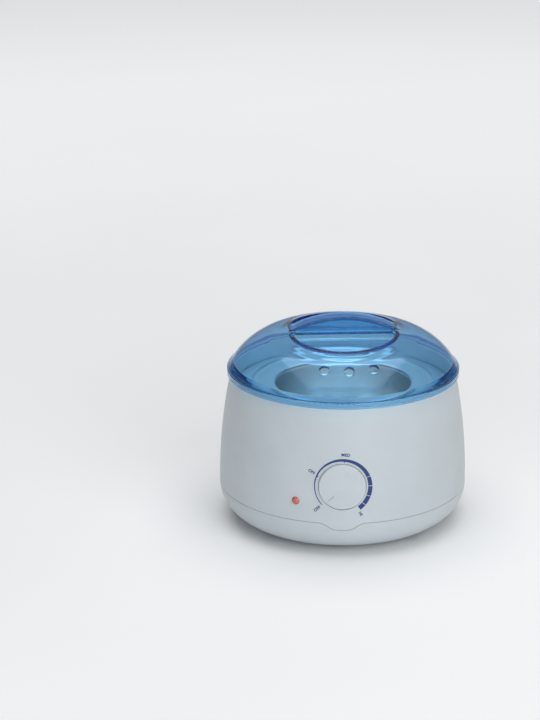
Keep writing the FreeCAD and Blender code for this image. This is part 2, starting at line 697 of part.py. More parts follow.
node("heating_pot", lathe("pot", [
    ("0", "pot_floor_height"),
    ("pot_radius - pot_bend", "pot_floor_height", "pot_bend", 1),
    ("pot_radius", "pot_floor_height + pot_bend"),
    ("pot_radius", "flange_under"),
    ("pot_flange", "flange_under"),
    ("pot_flange", "flange_top"),
    ("pot_radius - pot_wall", "flange_top"),
    ("pot_radius - pot_wall", "pot_floor_height + pot_bend", "pot_bend - pot_wall", -1),
    ("pot_radius - pot_bend", "pot_floor_height + pot_wall"),
    ("0", "pot_floor_height + pot_wall"),
]))
node("pot_gasket", lathe("gasket", [
    ("gasket_inner", "deck_height"),
    ("gasket_outer", "deck_height"),
    ("gasket_outer", "flange_under"),
    ("gasket_inner", "flange_under"),
]))
node("wax_container", lathe("container", [
    ("0", "container_floor"),
    ("container_foot_radius - container_bend", "container_floor", "container_bend", 1),
    ("container_foot_radius", "container_floor + container_bend"),
    ("container_top_radius", "flange_top"),
    ("container_flange", "flange_top", "container_bead", 1),
    ("container_flange + container_bead", "flange_top + container_bead", "container_bead", 1),
    ("container_flange", "flange_top + 2 * container_bead"),
    ("container_flange - container_bead", "flange_top + container_wall"),
    ("container_top_radius - container_wall + mouth_round", "flange_top + container_wall", "mouth_round", 1),
    ("container_top_radius - container_wall", "flange_top + container_wall - mouth_round"),
    ("container_foot_radius - container_wall", "container_floor + container_bend",
     "container_bend - container_wall", -1),
    ("container_foot_radius - container_bend", "container_floor + container_wall"),
    ("0", "container_floor + container_wall"),
]))

# Heater stack hung on one stud under the pot

heater_hole = drum("heater_hole", "stud_hole", "pot_floor_height", "0", "0", "0")
heater_blank = drum("heater_blank", "heater_radius", "heater_thickness", "0", "0", "heater_under")
node("mica_heater", cut("mica_part", heater_blank, heater_hole))
node("heater_clamp", lathe("clamp", [
    ("stud_hole", "clamp_under"),
    ("clamp_radius - clamp_thickness", "clamp_under"),
    ("clamp_radius - clamp_thickness", "clamp_under - clamp_rim"),
    ("clamp_radius", "clamp_under - clamp_rim"),
    ("clamp_radius", "heater_under"),
    ("stud_hole", "heater_under"),
]))
node("clamp_stud", drum("stud", "stud_radius", "pot_floor_height - stud_foot", "0", "0", "stud_foot"))
nut_bore = drum("nut_bore", "stud_radius + thread_clearance", "pot_floor_height", "0", "0", "0")
upper_hex = hexagon("upper_hex", "nut_flats", "nut_height", "0", "0", "spacer_top")
lower_hex = hexagon("lower_hex", "nut_flats", "nut_height", "0", "0", "shield_under - nut_height")
upper_nut = cut("upper_nut", upper_hex, nut_bore)
lower_nut = cut("lower_nut", lower_hex, nut_bore)
node("stud_nuts", group("nuts", upper_nut, lower_nut))
spacer_blank = drum("spacer_blank", "stud_hole + spacer_wall", "spacer_length", "0", "0", "shield_top")
node("shield_spacer", cut("spacer_part", spacer_blank, heater_hole))
node("heat_shield", lathe("shield", [
    ("stud_hole", "shield_under"),
    ("shield_radius - shield_lip / 2", "shield_under"),
    ("shield_radius", "shield_under + shield_lip"),
    ("shield_radius - shield_thickness", "shield_under + shield_lip"),
    ("shield_radius - shield_lip / 2 - shield_thickness / 2", "shield_top"),
    ("stud_hole", "shield_top"),
]))


def heater_tab(name, angle):
    """A brass tab that leaves the heater's edge."""
    turn = FreeCAD.Rotation(AXIS_Z, number(angle))
    half = "tab_width / 2"
    x = f"heater_radius * cos({angle}) + {half} * sin({angle})"
    y = f"heater_radius * sin({angle}) - {half} * cos({angle})"
    z = "heater_under + heater_thickness / 2 - blade_thickness / 2"
    return block(name, "tab_end - heater_radius", "tab_width", "blade_thickness", x, y, z, turn)


tab_one = heater_tab("tab_one", "tab_angle")
tab_two = heater_tab("tab_two", "(tab_angle + tab_step)")
node("heater_tabs", group("tabs", tab_one, tab_two))

# Thermostat on a saddle at the pot's front wall, with spindle and knob

pot_outside = drum("pot_outside", "pot_radius + seat_gap", "deck_height", "0", "0", "0")
saddle_blank = block("saddle_blank", "saddle_width", "saddle_thickness + saddle_wing", "saddle_tall",
                     "-saddle_width / 2", "-saddle_front", "dial_height - saddle_tall / 2")
saddle_pilot = drum("saddle_pilot", "fixing_radius + thread_clearance", "fixing_bite + overrun",
                    "fixing_pitch / 2", "-(saddle_front - fixing_bite)", "dial_height", FRONT)
saddle_pilot_left = mirror("saddle_pilot_left", saddle_pilot, AXIS_X)
node("thermostat_saddle", cut("saddle_part", saddle_blank, pot_outside, saddle_pilot, saddle_pilot_left))
thermostat_box = block("thermostat_box", "thermostat_width", "thermostat_deep", "thermostat_tall",
                       "-thermostat_width / 2", "-thermostat_front", "dial_height - thermostat_tall / 2")
bush = drum("bush", "bush_radius", "bush_length + thermostat_deep / 2",
            "0", "-(thermostat_front - thermostat_deep / 2)", "dial_height", FRONT)
spindle_hole = drum("spindle_hole", "shaft_radius + shaft_clearance", "body_radius",
                    "0", "-(thermostat_front - shaft_seat - shaft_clearance)", "dial_height", FRONT)
fixing_hole = drum("fixing_hole", "fixing_radius + shaft_clearance", "body_radius",
                   "fixing_pitch / 2", "0", "dial_height", FRONT)
fixing_hole_left = mirror("fixing_hole_left", fixing_hole, AXIS_X)
thermostat_blank = join("thermostat_blank", thermostat_box, bush)
node("thermostat_body", cut("thermostat_part", thermostat_blank, spindle_hole, fixing_hole, fixing_hole_left))
fixing = lathe("fixing", [
    ("0", "-(thermostat_deep + fixing_bite)"),
    ("fixing_radius", "-(thermostat_deep + fixing_bite)"),
    ("fixing_radius", "0"),
    ("fixing_head_radius", "0"),
    ("fixing_head_radius", "fixing_head_height"),
    ("0", "fixing_head_height"),
])
place(fixing, "fixing_pitch / 2", "-thermostat_front", "dial_height", FRONT)
node("thermostat_screws", group("fixings", fixing, mirror("fixing_left", fixing, AXIS_X)))
blade = block("blade", "blade_length", "blade_width", "blade_thickness",
              "thermostat_width / 2", "-blade_y - blade_width / 2", "dial_height - blade_thickness / 2")
node("thermostat_blades", group("blades", blade, mirror("blade_left", blade, AXIS_X)))

spindle_blank = drum("spindle_blank", "shaft_radius", "shaft_end - thermostat_front + shaft_seat",
                     "0", "-(thermostat_front - shaft_seat)", "dial_height", FRONT)
spindle_flat = block("spindle_flat", "2 * shaft_radius", "shaft_grip", "shaft_radius",
                     "-shaft_radius", "-shaft_end", "dial_height + shaft_flat")
node("thermostat_spindle", cut("spindle_part", spindle_blank, spindle_flat))

knob_blank = lathe("knob_blank", [
    ("0", "-hub_length"),
    ("hub_radius", "-hub_length"),
    ("hub_radius", "knob_face - knob_wall"),
    ("knob_radius - knob_wall", "knob_face - knob_wall"),
    ("knob_radius - knob_wall", "knob_lift"),
    ("knob_radius", "knob_lift"),
    ("knob_radius", "knob_face - knob_round", "knob_round", 1),
    ("knob_radius - knob_round", "knob_face", "crown_radius", 1),
    ("0", "knob_face + knob_crown"),
])
place(knob_blank, "0", "-dial_floor", "dial_height", FRONT)
knob_bore = drum("knob_bore", "shaft_radius + shaft_clearance", "shaft_grip + shaft_clearance",
                 "0", "-hub_end", "dial_height", FRONT)
knob_key = block("knob_key", "2 * hub_radius", "shaft_grip + shaft_clearance", "hub_radius",
                 "-hub_radius", "-shaft_end - shaft_clearance", "dial_height + shaft_flat + shaft_clearance")
knob_socket = cut("knob_socket", knob_bore, knob_key)
pointer = block("pointer", "pointer_width", "knob_edge", "pointer_length",
                "-pointer_width / 2", "-(knob_face + knob_crown - pointer_sink) - knob_edge",
                "knob_radius - pointer_margin - pointer_length")
pointer_box = group("pointer_box", pointer)
place(pointer_box, "0", "-dial_floor", "dial_height", FreeCAD.Rotation(AXIS_Y, number("pointer_angle")))
node("control_knob", cut("knob_part", knob_blank, knob_socket, pointer_box))

# Thermal fuse in a clip at the pot's right wall

fuse_hole = drum("fuse_hole", "fuse_radius + thread_clearance", "2 * fuse_length",
                 "fuse_distance", "-fuse_length", "fuse_height", REAR)
clip_blank = block("clip_blank", "fuse_standoff + fuse_radius + 2 * clip_wall", "clip_width", "clip_tall",
                   "pot_radius - clip_wall", "-clip_width / 2", "fuse_height - clip_tall / 2")
node("fuse_clip", cut("clip_part", clip_blank, pot_outside, fuse_hole))
fuse_body = drum("fuse_body", "fuse_radius", "fuse_length",
                 "fuse_distance", "-fuse_length / 2", "fuse_height", REAR)
fuse_leads = drum("fuse_leads", "fuse_lead_radius", "2 * fuse_end",
                  "fuse_distance", "-fuse_end", "fuse_height", REAR)
node("thermal_fuse", join("fuse_part", fuse_body, fuse_leads))

# Indicator: lens pushed in from behind, glow lamp in its holder

lens_blank = lathe("lens_blank", [
    ("0", "0"),
    ("lens_flange_radius", "0"),
    ("lens_flange_radius", "lens_flange - lens_clearance"),
    ("lens_radius", "lens_flange - lens_clearance"),
    ("lens_radius", "lens_flange + shell_wall"),
    ("lens_radius - lens_proud", "lens_flange + shell_wall + lens_proud"),
    ("0", "lens_flange + shell_wall + lens_proud"),
])
place(lens_blank, "-lamp_inside * sin(lamp_angle)", "-lamp_inside * cos(lamp_angle)", "lamp_height", LAMP_TURN)
bulb_room = lamp_drum("bulb_room", "bulb_radius + bulb_clearance", "lamp_back - overrun",
                      "lamp_inside - lamp_back + overrun + bulb_tip + bulb_clearance")
node("indicator_lens", cut("lens_part", lens_blank, bulb_room))
holder_blank = lamp_drum("holder_blank", "lens_flange_radius", "lamp_back", "lamp_boss_length - lens_flange")
node("lamp_holder", cut("holder_part", holder_blank, bulb_room))
node("glow_lamp", lamp_drum("bulb", "bulb_radius", "lamp_inside + bulb_tip - bulb_length", "bulb_length"))

# Cord inlet: gland with its nut

gland_blank = lathe("gland_blank", [
    ("inlet_bore_radius", "-inlet_neck_length"),
    ("inlet_neck_radius", "-inlet_neck_length"),
    ("inlet_neck_radius", "0"),
    ("inlet_collar_radius", "0"),
    ("inlet_collar_radius", "inlet_spot + inlet_proud - inlet_round", "inlet_round", 1),
    ("inlet_collar_radius - inlet_round", "inlet_spot + inlet_proud"),
    ("inlet_bore_radius + inlet_round", "inlet_spot + inlet_proud", "inlet_round", 1),
    ("inlet_bore_radius", "inlet_spot + inlet_proud - inlet_round"),
])
node("cord_gland", place(gland_blank, "0", "inlet_seat", "inlet_height", REAR))
nut_hex = hexagon("nut_hex", "inlet_nut_flats", "inlet_nut_height",
                  "0", "inlet_nut_face - inlet_nut_height", "inlet_height", REAR)
nut_hole = drum("nut_hole", "inlet_neck_radius + thread_clearance", "body_radius",
                "0", "0", "inlet_height", REAR)
node("gland_nut", cut("gland_nut_part", nut_hex, nut_hole))

# Terminal block on a peg of the base, with its pole screws

block_box = block("block_box", "block_length", "block_deep", "block_tall",
                  "-block_length / 2", "block_distance - block_deep / 2", "block_foot")
peg_hole = drum("peg_hole", "peg_radius + thread_clearance", "peg_length + thread_clearance",
                "0", "block_distance", "block_foot")
pole_low = "(block_foot + pole_rise)"
pole_high = "(block_foot + pole_rise + block_pitch)"
screw_tip = "(block_distance + wire_radius + wire_gap)"
pole_cuts = []
pole_screws = []
for pole, pole_z in (("live", pole_low), ("neutral", pole_high)):
    pole_cuts.append(drum(pole + "_way", "pole_radius", "block_length",
                          "-block_length / 2", "block_distance", pole_z, RIGHT))
    pole_cuts.append(drum(pole + "_well", "clamp_screw_radius + thread_clearance", "block_deep",
                          "0", "block_distance", pole_z, REAR))
    pole_screws.append(drum(pole + "_screw", "clamp_screw_radius",
                            f"block_back + clamp_screw_proud - {screw_tip}", "0", screw_tip, pole_z, REAR))
node("terminal_block", cut("block_part", block_box, peg_hole, *pole_cuts))
node("terminal_screws", group("pole_screws", *pole_screws))

# Wires along arcs round the pot; each route eases from one terminal's distance and height to the other's

ROUTE_STEPS = 12


def wire(name, way, start, stop, entry="0", dip="0"):
    """A wire between two points, turning left (1) or right (-1) round the pot, with a straight entry
    at its start and a dip towards the pot half way."""
    first = FreeCAD.Vector(*[number(text) for text in start])
    last = FreeCAD.Vector(*[number(text) for text in stop])
    near = math.hypot(first.x, first.y)
    far = math.hypot(last.x, last.y)
    begin = math.atan2(first.y, first.x)
    sweep = (math.atan2(last.y, last.x) - begin) * way % (2 * math.pi) * way
    spots = []
    for step in range(ROUTE_STEPS + 1):
        share = step / ROUTE_STEPS
        ease = share * share * (3 - 2 * share)
        radius = near + (far - near) * ease - number(dip) * math.sin(math.pi * share) ** 2
        angle = begin + sweep * share
        height = first.z + (last.z - first.z) * ease
        spots.append(FreeCAD.Vector(radius * math.cos(angle), radius * math.sin(angle), height))
    curve = Part.BSplineCurve()
    curve.interpolate(spots)
    edges = [curve.toShape()]
    ahead = curve.tangent(curve.FirstParameter)[0]
    origin = first - ahead * number(entry)
    if number(entry):
        edges.insert(0, Part.makeLine(origin, first))
    ring = Part.Wire(Part.makeCircle(number("wire_radius"), origin, ahead))
    item = doc.addObject("Part::Feature", name)
    item.Shape = Part.Wire(edges).makePipeShell([ring], True, False)
    return item


def tab_side(angle, side):
    """The point beside a heater tab where a wire ends; side is 1 on its left and -1 on its right."""
    along = "(tab_end - wire_radius)"
    beside = f"({side} * (tab_width / 2 + wire_gap))"
    x = f"{along} * cos({angle}) - {beside} * sin({angle})"
    y = f"{along} * sin({angle}) + {beside} * cos({angle})"
    return (x, y, "heater_under + heater_thickness / 2")


blade_tip = "blade_end + wire_gap"
fuse_tip = "fuse_end + wire_gap"
live_start = ("-block_length / 2", "block_distance", pole_low)
live_stop = (f"-({blade_tip})", "-blade_y", "dial_height")
switched_start = (blade_tip, "-blade_y", "dial_height")
switched_stop = ("fuse_distance", f"-({fuse_tip})", "fuse_height")
fuse_start = ("fuse_distance", fuse_tip, "fuse_height")
neutral_start = ("block_length / 2", "block_distance", pole_high)
node("wire_harness", group(
    "wires",
    wire("live_wire", 1, live_start, live_stop, "wire_entry", "wire_dip"),
    wire("switched_wire", 1, switched_start, switched_stop),
    wire("fuse_wire", 1, fuse_start, tab_side("tab_angle", -1)),
    wire("neutral_wire", -1, neutral_start, tab_side("(tab_angle + tab_step)", 1), "wire_entry"),
))

# Lid: spherical dome over a band, two half-moon finger dishes beside a raised grip ridge, three steam holes

lid_outside = lathe("lid_outside", [
    ("0", "band_bottom"),
    ("band_outer", "band_bottom"),
    ("band_outer", "band_top - band_round", "band_round", 1),
    ("band_outer - band_round", "band_top"),
    ("dome_edge", "band_top", "dome_radius", 1),
    ("0", "lid_height"),
])
lid_inside = lathe("lid_inside", [
    ("0", "deck_height"),
    ("band_inner", "deck_height"),
    ("band_inner", "rim_height"),
    ("lid_seat_radius", "rim_height"),
    ("lid_seat_radius", "dome_z + sqrt((dome_radius - lid_wall) ^ 2 - lid_seat_radius ^ 2)",
     "dome_radius - lid_wall", 1),
    ("0", "lid_height - lid_wall"),
])


def ridge(name, inset):
    """The grip ridge: a slice of a drum that lies across the lid, made smaller all round by an inset."""
    roll = drum(name + "_roll", f"crest_radius - {inset}", "2 * (ridge_half + overrun)",
                "0", "-(ridge_half + overrun)", "crest_z", REAR)
    slab = block(name + "_slab", "2 * (ridge_reach + overrun)", f"2 * (ridge_half - {inset})", "crest_height",
                 "-(ridge_reach + overrun)", f"-(ridge_half - {inset})", "dish_floor")
    return overlap(name, roll, slab)


def dish(name, extra):
    """The room of the front finger dish, grown all round by an extra."""
    body = doc.addObject("PartDesign::Body", name)
    bow = f"(dish_radius + {extra})"
    side = f"sqrt({bow} ^ 2 - ({extra}) ^ 2)"
    back = f"(ridge_half - {extra})"
    sketch = draw(body, name + "_plan", "XY_Plane", [
        ("-" + side, "-" + back, bow, 1),
        ("0", f"-(ridge_half + {bow})", bow, 1),
        (side, "-" + back),
    ])
    pad = body.newObject("PartDesign::Pad", name + "_pad")
    pad.Profile = sketch
    bind(pad, Length="dome_radius")
    doc.recompute()
    edges = []
    for index, edge in enumerate(pad.Shape.Edges, start=1):
        box = edge.BoundBox
        low = box.ZMax < number(bow) / 2
        corner = box.ZLength > number(bow) and abs(box.Center.x) > number(bow) / 2
        if low or corner:
            edges.append(f"Edge{index}")
    soften = body.newObject("PartDesign::Fillet", name + "_soften")
    soften.Base = (pad, edges)
    bind(soften, Radius=f"dish_fillet + {extra}")
    sketch.Visibility = False
    body.Tip = soften
    return place(body, "0", "0", f"dish_floor - {extra}")


def rounded(name, source, spots_fit):
    """A solid with those of its edges rounded whose points all fit."""
    doc.recompute()
    body = doc.addObject("PartDesign::Body", name)
    body.BaseFeature = source
    doc.recompute()
    edges = []
    for index, edge in enumerate(source.Shape.Edges, start=1):
        if edge.Length > number("lip_round") and all(spots_fit(spot) for spot in edge.discretize(Number=5)):
            edges.append(f"Edge{index}")
    round_off = body.newObject("PartDesign::Fillet", name + "_edges")
    round_off.Base = (body.Group[0], edges)
    bind(round_off, Radius="lip_round")
    body.Tip = round_off
    return body


def on_lip(spot):
    """Whether a point is on the dome above the dishes' floors."""
    arm = spot - FreeCAD.Vector(0, 0, number("dome_z"))
    return abs(arm.Length / number("dome_radius") - 1) < 1e-4 and spot.z > number("dish_floor")


def on_crest(spot):
    """Whether a point is on one of the two edges along the ridge's top."""
    arm = math.hypot(spot.x, spot.z - number("crest_z"))
    beside = abs(abs(spot.y) / number("ridge_half") - 1) < 1e-4
    return abs(arm / number("crest_radius") - 1) < 1e-4 and beside


front_dish = dish("front_dish", "0")
front_room = dish("front_room", "lid_wall")
rear_dish = mirror("rear_dish", front_dish, AXIS_Y)
rear_room = mirror("rear_room", front_room, AXIS_Y)
steam_holes = []
for index in (-1, 0, 1):
    turn = FreeCAD.Rotation(AXIS_Z, index * number("vent_hole_angle"))
    lean = FreeCAD.Rotation(AXIS_X, number("asin(vent_hole_distance / dome_radius)"))
    steam_holes.append(drum(f"steam_hole_{index + 2}", "vent_hole_radius", "dome_radius + overrun",
                            "0", "0", "dome_z", turn * lean))
lid_dished = rounded("lid_lips", cut("lid_dished", lid_outside, front_dish, rear_dish), on_lip)
lid_form = rounded("lid_crest", join("lid_top", lid_dished, ridge("ridge_outside", "0")), on_crest)
lid_room = cut("lid_room", join("lid_hollow", lid_inside, ridge("ridge_inside", "lid_wall")), front_room, rear_room)
lid_part = group("lid_set", cut("lid_part", lid_form, lid_room, *steam_holes))
node("lid", place(lid_part, turn=FreeCAD.Rotation(AXIS_Z, number("lid_turn"))))

# Check every object, then write one STEP for each piece

doc.recompute()
faults = [item.Name for item in doc.Objects if "Invalid" in item.State or "Error" in item.State]
if faults:
    raise RuntimeError("objects that did not build: " + ", ".join(faults))
for name, item in NODES.items():
    if item.Shape.isNull() or not item.Shape.isValid():
        raise RuntimeError("not a valid shape: " + name)
    item.Shape.exportStep(f"parts/{name}.step")
    print(f"{name}: {len(item.Shape.Solids)} solid(s), {item.Shape.Volume / 1000:.2f} cm3")
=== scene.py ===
import math

import bmesh
import bpy
from bpy.props import FloatProperty, FloatVectorProperty, PointerProperty
from mathutils import Matrix, Vector


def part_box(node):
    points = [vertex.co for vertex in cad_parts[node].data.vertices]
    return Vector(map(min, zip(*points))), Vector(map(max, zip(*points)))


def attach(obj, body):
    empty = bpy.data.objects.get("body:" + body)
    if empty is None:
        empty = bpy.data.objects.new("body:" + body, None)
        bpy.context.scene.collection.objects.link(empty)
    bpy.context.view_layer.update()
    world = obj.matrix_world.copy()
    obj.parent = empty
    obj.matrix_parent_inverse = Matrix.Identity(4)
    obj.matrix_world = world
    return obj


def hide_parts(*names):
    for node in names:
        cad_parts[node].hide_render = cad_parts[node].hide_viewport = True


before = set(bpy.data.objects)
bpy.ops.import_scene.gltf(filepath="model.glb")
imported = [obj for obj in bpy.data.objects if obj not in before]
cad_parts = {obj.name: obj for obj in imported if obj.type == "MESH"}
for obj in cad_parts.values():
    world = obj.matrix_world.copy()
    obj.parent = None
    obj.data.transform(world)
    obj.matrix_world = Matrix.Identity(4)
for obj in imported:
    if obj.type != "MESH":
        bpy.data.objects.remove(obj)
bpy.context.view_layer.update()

KNOB_LOW, KNOB_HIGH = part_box("control_knob")
LENS_LOW, LENS_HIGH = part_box("indicator_lens")

# Metres: vertices this near are one, a point this near the axis has no direction, a slope is taken over this
SAME_PLACE = 1e-7
OFF_AXIS = 1e-6
SLOPE_STEP = 1e-5

# Degrees clockwise from the dial's top
RING_CUTS = (68.2, 88.5, 110.0, 129.5)
RING_MARKS = (-67.0, 4.0)

# Word, degrees clockwise from the dial's top, metres from its middle, lean in degrees
DIAL_WORDS = (
    ("OFF", -133.5, 0.0214, 42.0),
    ("ON", -64.5, 0.0212, -24.0),
    ("MED", 5.5, 0.0206, -4.0),
    ("HI", 147.0, 0.0210, -56.0),
)

bl_info = {
    "name": "Wax Heater",
    "version": (1, 0, 0),
    "blender": (4, 5, 0),
    "location": "3D View > Sidebar > Heater",
    "description": "Finishes and prints a tabletop wax heater on its solid frame",
    "category": "Object",
}


# Sizes and colours that a user would change

def length(name, description, default):
    """A length in metres."""
    return FloatProperty(name=name, description=description, default=default, unit="LENGTH", precision=5)


def angle(name, description, degrees):
    """An angle, shown in degrees."""
    return FloatProperty(name=name, description=description, default=math.radians(degrees), subtype="ANGLE")


def power(name, description, watts):
    """The power of a lamp."""
    return FloatProperty(name=name, description=description, default=watts, unit="POWER")


def number(name, description, default, **limits):
    """A plain number."""
    return FloatProperty(name=name, description=description, default=default, **limits)


def colour(name, description, *default):
    """A linear colour."""
    return FloatVectorProperty(name=name, description=description, default=default, subtype="COLOR", size=3,
                               min=0.0, max=1.0)


class HeaterColours(bpy.types.PropertyGroup):
    """Colours of what is seen from outside."""
    housing: colour("Housing", "Satin white moulding", 0.555, 0.61, 0.64)
    knob: colour("Knob", "Smooth white moulding of the knob", 0.565, 0.615, 0.645)
    lid: colour("Lid", "Face of the clear moulding", 0.83, 0.94, 0.99)
    lid_depth: colour("Lid depth", "What the clear moulding lets through in its depth", 0.09, 0.60, 0.87)
    ink: colour("Ink", "Printed dial", 0.024, 0.052, 0.20)
    lens: colour("Lens", "Indicator lens", 0.50, 0.105, 0.085)
    aluminium: colour("Aluminium", "Spun pot and container", 0.92, 0.93, 0.93)
    rubber: colour("Rubber", "Feet", 0.035, 0.036, 0.038)
    zinc: colour("Zinc", "Screws of the housing", 0.60, 0.60, 0.58)
    inlet: colour("Inlet", "Cord gland and its nut", 0.42, 0.45, 0.47)


class HeaterInsides(bpy.types.PropertyGroup):
    """Colours of what the housing hides."""
    silicone: colour("Silicone", "Gasket of the pot", 0.52, 0.50, 0.47)
    nylon: colour("Nylon", "Holder of the glow lamp", 0.70, 0.68, 0.62)
    bulb: colour("Bulb", "Glass of the glow lamp", 0.85, 0.55, 0.38)
    mica: colour("Mica", "Board of the heater", 0.40, 0.34, 0.25)
    mica_flake: colour("Mica flake", "Flakes in the heater's board", 0.58, 0.52, 0.40)
    clamp: colour("Clamp", "Plate that holds the heater", 0.52, 0.53, 0.54)
    stud: colour("Stud", "Stud, nuts and spacer", 0.56, 0.56, 0.55)
    shield: colour("Shield", "Sheet under the heater", 0.78, 0.79, 0.80)
    tab: colour("Tab", "Brass tabs of the heater", 0.76, 0.55, 0.24)
    resin: colour("Resin", "Body of the thermostat", 0.055, 0.032, 0.022)
    resin_flake: colour("Resin flake", "Flakes in the thermostat's body", 0.10, 0.062, 0.042)
    saddle: colour("Saddle", "Thermostat's saddle and the fuse's clip", 0.74, 0.75, 0.76)
    fixing: colour("Fixing", "Thermostat's screws and spindle", 0.58, 0.58, 0.57)
    blade: colour("Blade", "Brass blades of the thermostat", 0.77, 0.57, 0.26)
    tin: colour("Tin", "Case of the thermal fuse", 0.66, 0.66, 0.63)
    block: colour("Block", "Terminal block", 0.66, 0.65, 0.58)
    pole: colour("Pole", "Brass screws of the terminal block", 0.75, 0.56, 0.26)
    sleeve: colour("Sleeve", "Sleeves of the wires", 0.50, 0.49, 0.45)


class HeaterLid(bpy.types.PropertyGroup):
    """How the lid takes light."""
    density: number("Density", "Strength of the tint in the lid's depth", 295.0)
    gloss: number("Gloss", "Level of the lid's reflections", 0.38, min=0.0, max=1.0)
    bend: number("Bend", "How strongly the lid bends light", 1.33, min=1.0, max=2.0)
    haze: number("Haze", "Share of light that the lid scatters", 0.02, min=0.0, max=1.0)


class HeaterDome(bpy.types.PropertyGroup):
    """Sizes of the lid's dome and of the fuller shoulder that it gets here."""
    top: length("Top", "Height of the dome's top", 0.1325)
    edge: length("Edge", "Radius of the dome's edge", 0.07355)
    foot: length("Foot", "Height of the dome's edge", 0.1016)
    seat: length("Seat", "Height of the ledge inside the lid", 0.1005)
    crown: length("Crown", "Radius at which the crown meets the shoulder", 0.0540)
    fall: length("Fall", "Top of the dome down to that place", 0.0123)
    swell_start: length("Swell start", "Radius at which the fuller shoulder starts", 0.0385)
    swell_full: length("Swell full", "Radius at which the shoulder is at its fullest", 0.0525)
    hole_shift: length("Hole shift", "How far the steam holes move to the front", 0.0036)
    shift_start: length("Shift start", "Radius inside which nothing moves to the front", 0.0415)
    shift_full: length("Shift full", "Radius from which the front moves in full", 0.0515)
    shift_hold: length("Shift hold", "Radius up to which the front moves in full", 0.0585)
    shift_end: length("Shift end", "Radius outside which nothing moves to the front", 0.0730)
    ridge_foot: length("Ridge foot", "Height above the dome at which the grip ridge starts", 0.00005)
    ridge_share: number("Ridge share", "How much higher the grip ridge gets", 0.3)


class HeaterPrint(bpy.types.PropertyGroup):
    """Sizes of the printed dial and of the surface that carries it."""
    barrel_curve: length("Barrel curve", "Radius of the barrel-shaped side in a section", 0.350)
    barrel_middle: length("Barrel middle", "Distance of that curve's middle behind the heater's axis", 0.270)
    barrel_height: length("Barrel height", "Height at which the side is widest", 0.0245)
    dial_height: length("Dial height", "Height of the dial's middle", (KNOB_LOW.z + KNOB_HIGH.z) / 2)
    ring_radius: length("Ring radius", "Middle line of the printed ring", 0.0173)
    thin_end: length("Thin end", "Width of the ring where it starts", 0.0005)
    thick_end: length("Thick end", "Width of the ring where it ends", 0.0029)
    ring_start: angle("Ring start", "Start of the ring, clockwise from the top", -133.0)
    ring_end: angle("Ring end", "End of the ring, clockwise from the top", 142.5)
    gap: length("Gap", "White gaps near the end of the ring", 0.00035)
    tick: length("Tick", "Marks on the ring's inner edge", 0.0009)
    tick_spread: angle("Tick spread", "Angle from a mark's tip to its foot", 1.65)
    letter: length("Letter height", "Height of the dial's capitals", 0.00185)
    letter_share: number("Letter share", "Height of a capital in sizes of the font", 0.70)
    letter_space: number("Letter space", "Spacing of the letters", 1.06)
    letter_weight: number("Letter weight", "How much bolder the strokes get, in letter heights", 0.04)
    coat: length("Coat", "How far the ink stands out of the housing", 0.00006)


class HeaterStage(bpy.types.PropertyGroup):
    """Camera, floor and light."""
    distance: length("Distance", "Camera to the heater's foot", 1.5)
    elevation: angle("Elevation", "Camera above the floor, seen from the heater's foot", 22.67)
    aim_height: length("Aim height", "Height on the axis at which the camera looks", 0.062)
    roll: angle("Roll", "Lean of the picture", 0.34)
    frame_width: number("Frame width", "Width of the camera's frame, in millimetres", 36.0)
    focal: number("Focal length", "Focal length for that frame, in millimetres", 151.8)
    shift_x: number("Shift X", "Side shift, in frame widths", -0.1348)
    shift_y: number("Shift Y", "Upward shift, in frame widths", 0.1152)
    key: power("Key", "Power of the lamp at the right", 6.9)
    key_tint: colour("Key tint", "Colour of the lamp at the right", 1.0, 0.97, 0.94)
    fill: power("Fill", "Power of the wide lamp at the front", 11.5)
    fill_tint: colour("Fill tint", "Colour of the wide lamp at the front", 0.90, 0.96, 1.0)
    crown: power("Crown", "Power of the lamp above", 18.5)
    crown_tint: colour("Crown tint", "Colour of the lamp above", 1.0, 1.0, 1.0)
    lamp_aim: length("Lamp aim", "Height on the axis that the lamps face", 0.06)
    sky: number("Sky", "Strength of the even light", 0.40)
    sky_tint: colour("Sky tint", "Colour of the even light", 0.93, 0.96, 1.0)
    fade_start: number("Fade start", "Sideways part of a direction from which the even light fades", 0.35)
    fade_end: number("Fade end", "Sideways part of a direction by which the even light has faded", 0.70)
    side_share: number("Side share", "What is left of the even light at the sides", 0.1)
    floor: colour("Floor", "Pale floor", 0.90, 0.90, 0.90)
    floor_half: length("Floor half", "Middle of the floor to its edge", 6.0)
    far_floor: number("Far floor", "How much lighter the floor is seen far off", 0.36)


# Shader maths, written as Python

class Shade:
    """One output of a node, which Python arithmetic can be written on."""

    def __init__(self, nodes, socket):
        self.nodes = nodes
        self.socket = socket

    def maths(self, operation, *values):
        """A Math node."""
        return self.nodes.add("ShaderNodeMath", {"operation": operation}, dict(enumerate(values)))

    def __add__(self, other):
        return self.maths("ADD", self, other)

    def __radd__(self, other):
        return self.maths("ADD", other, self)

    def __sub__(self, other):
        return self.maths("SUBTRACT", self, other)

    def __rsub__(self, other):
        return self.maths("SUBTRACT", other, self)

    def __mul__(self, other):
        return self.maths("MULTIPLY", self, other)

    def __rmul__(self, other):
        return self.maths("MULTIPLY", other, self)

    def __pow__(self, other):
        return self.maths("POWER", self, other)

    def __abs__(self):
        return self.maths("ABSOLUTE", self)

    def over(self, low, high, start=0.0, end=1.0):
        """Start below low, end above high, smooth between."""
        return self.nodes.add("ShaderNodeMapRange", {"interpolation_type": "SMOOTHSTEP"},
                              {"Value": self, "From Min": low, "From Max": high,
                               "To Min": start, "To Max": end})


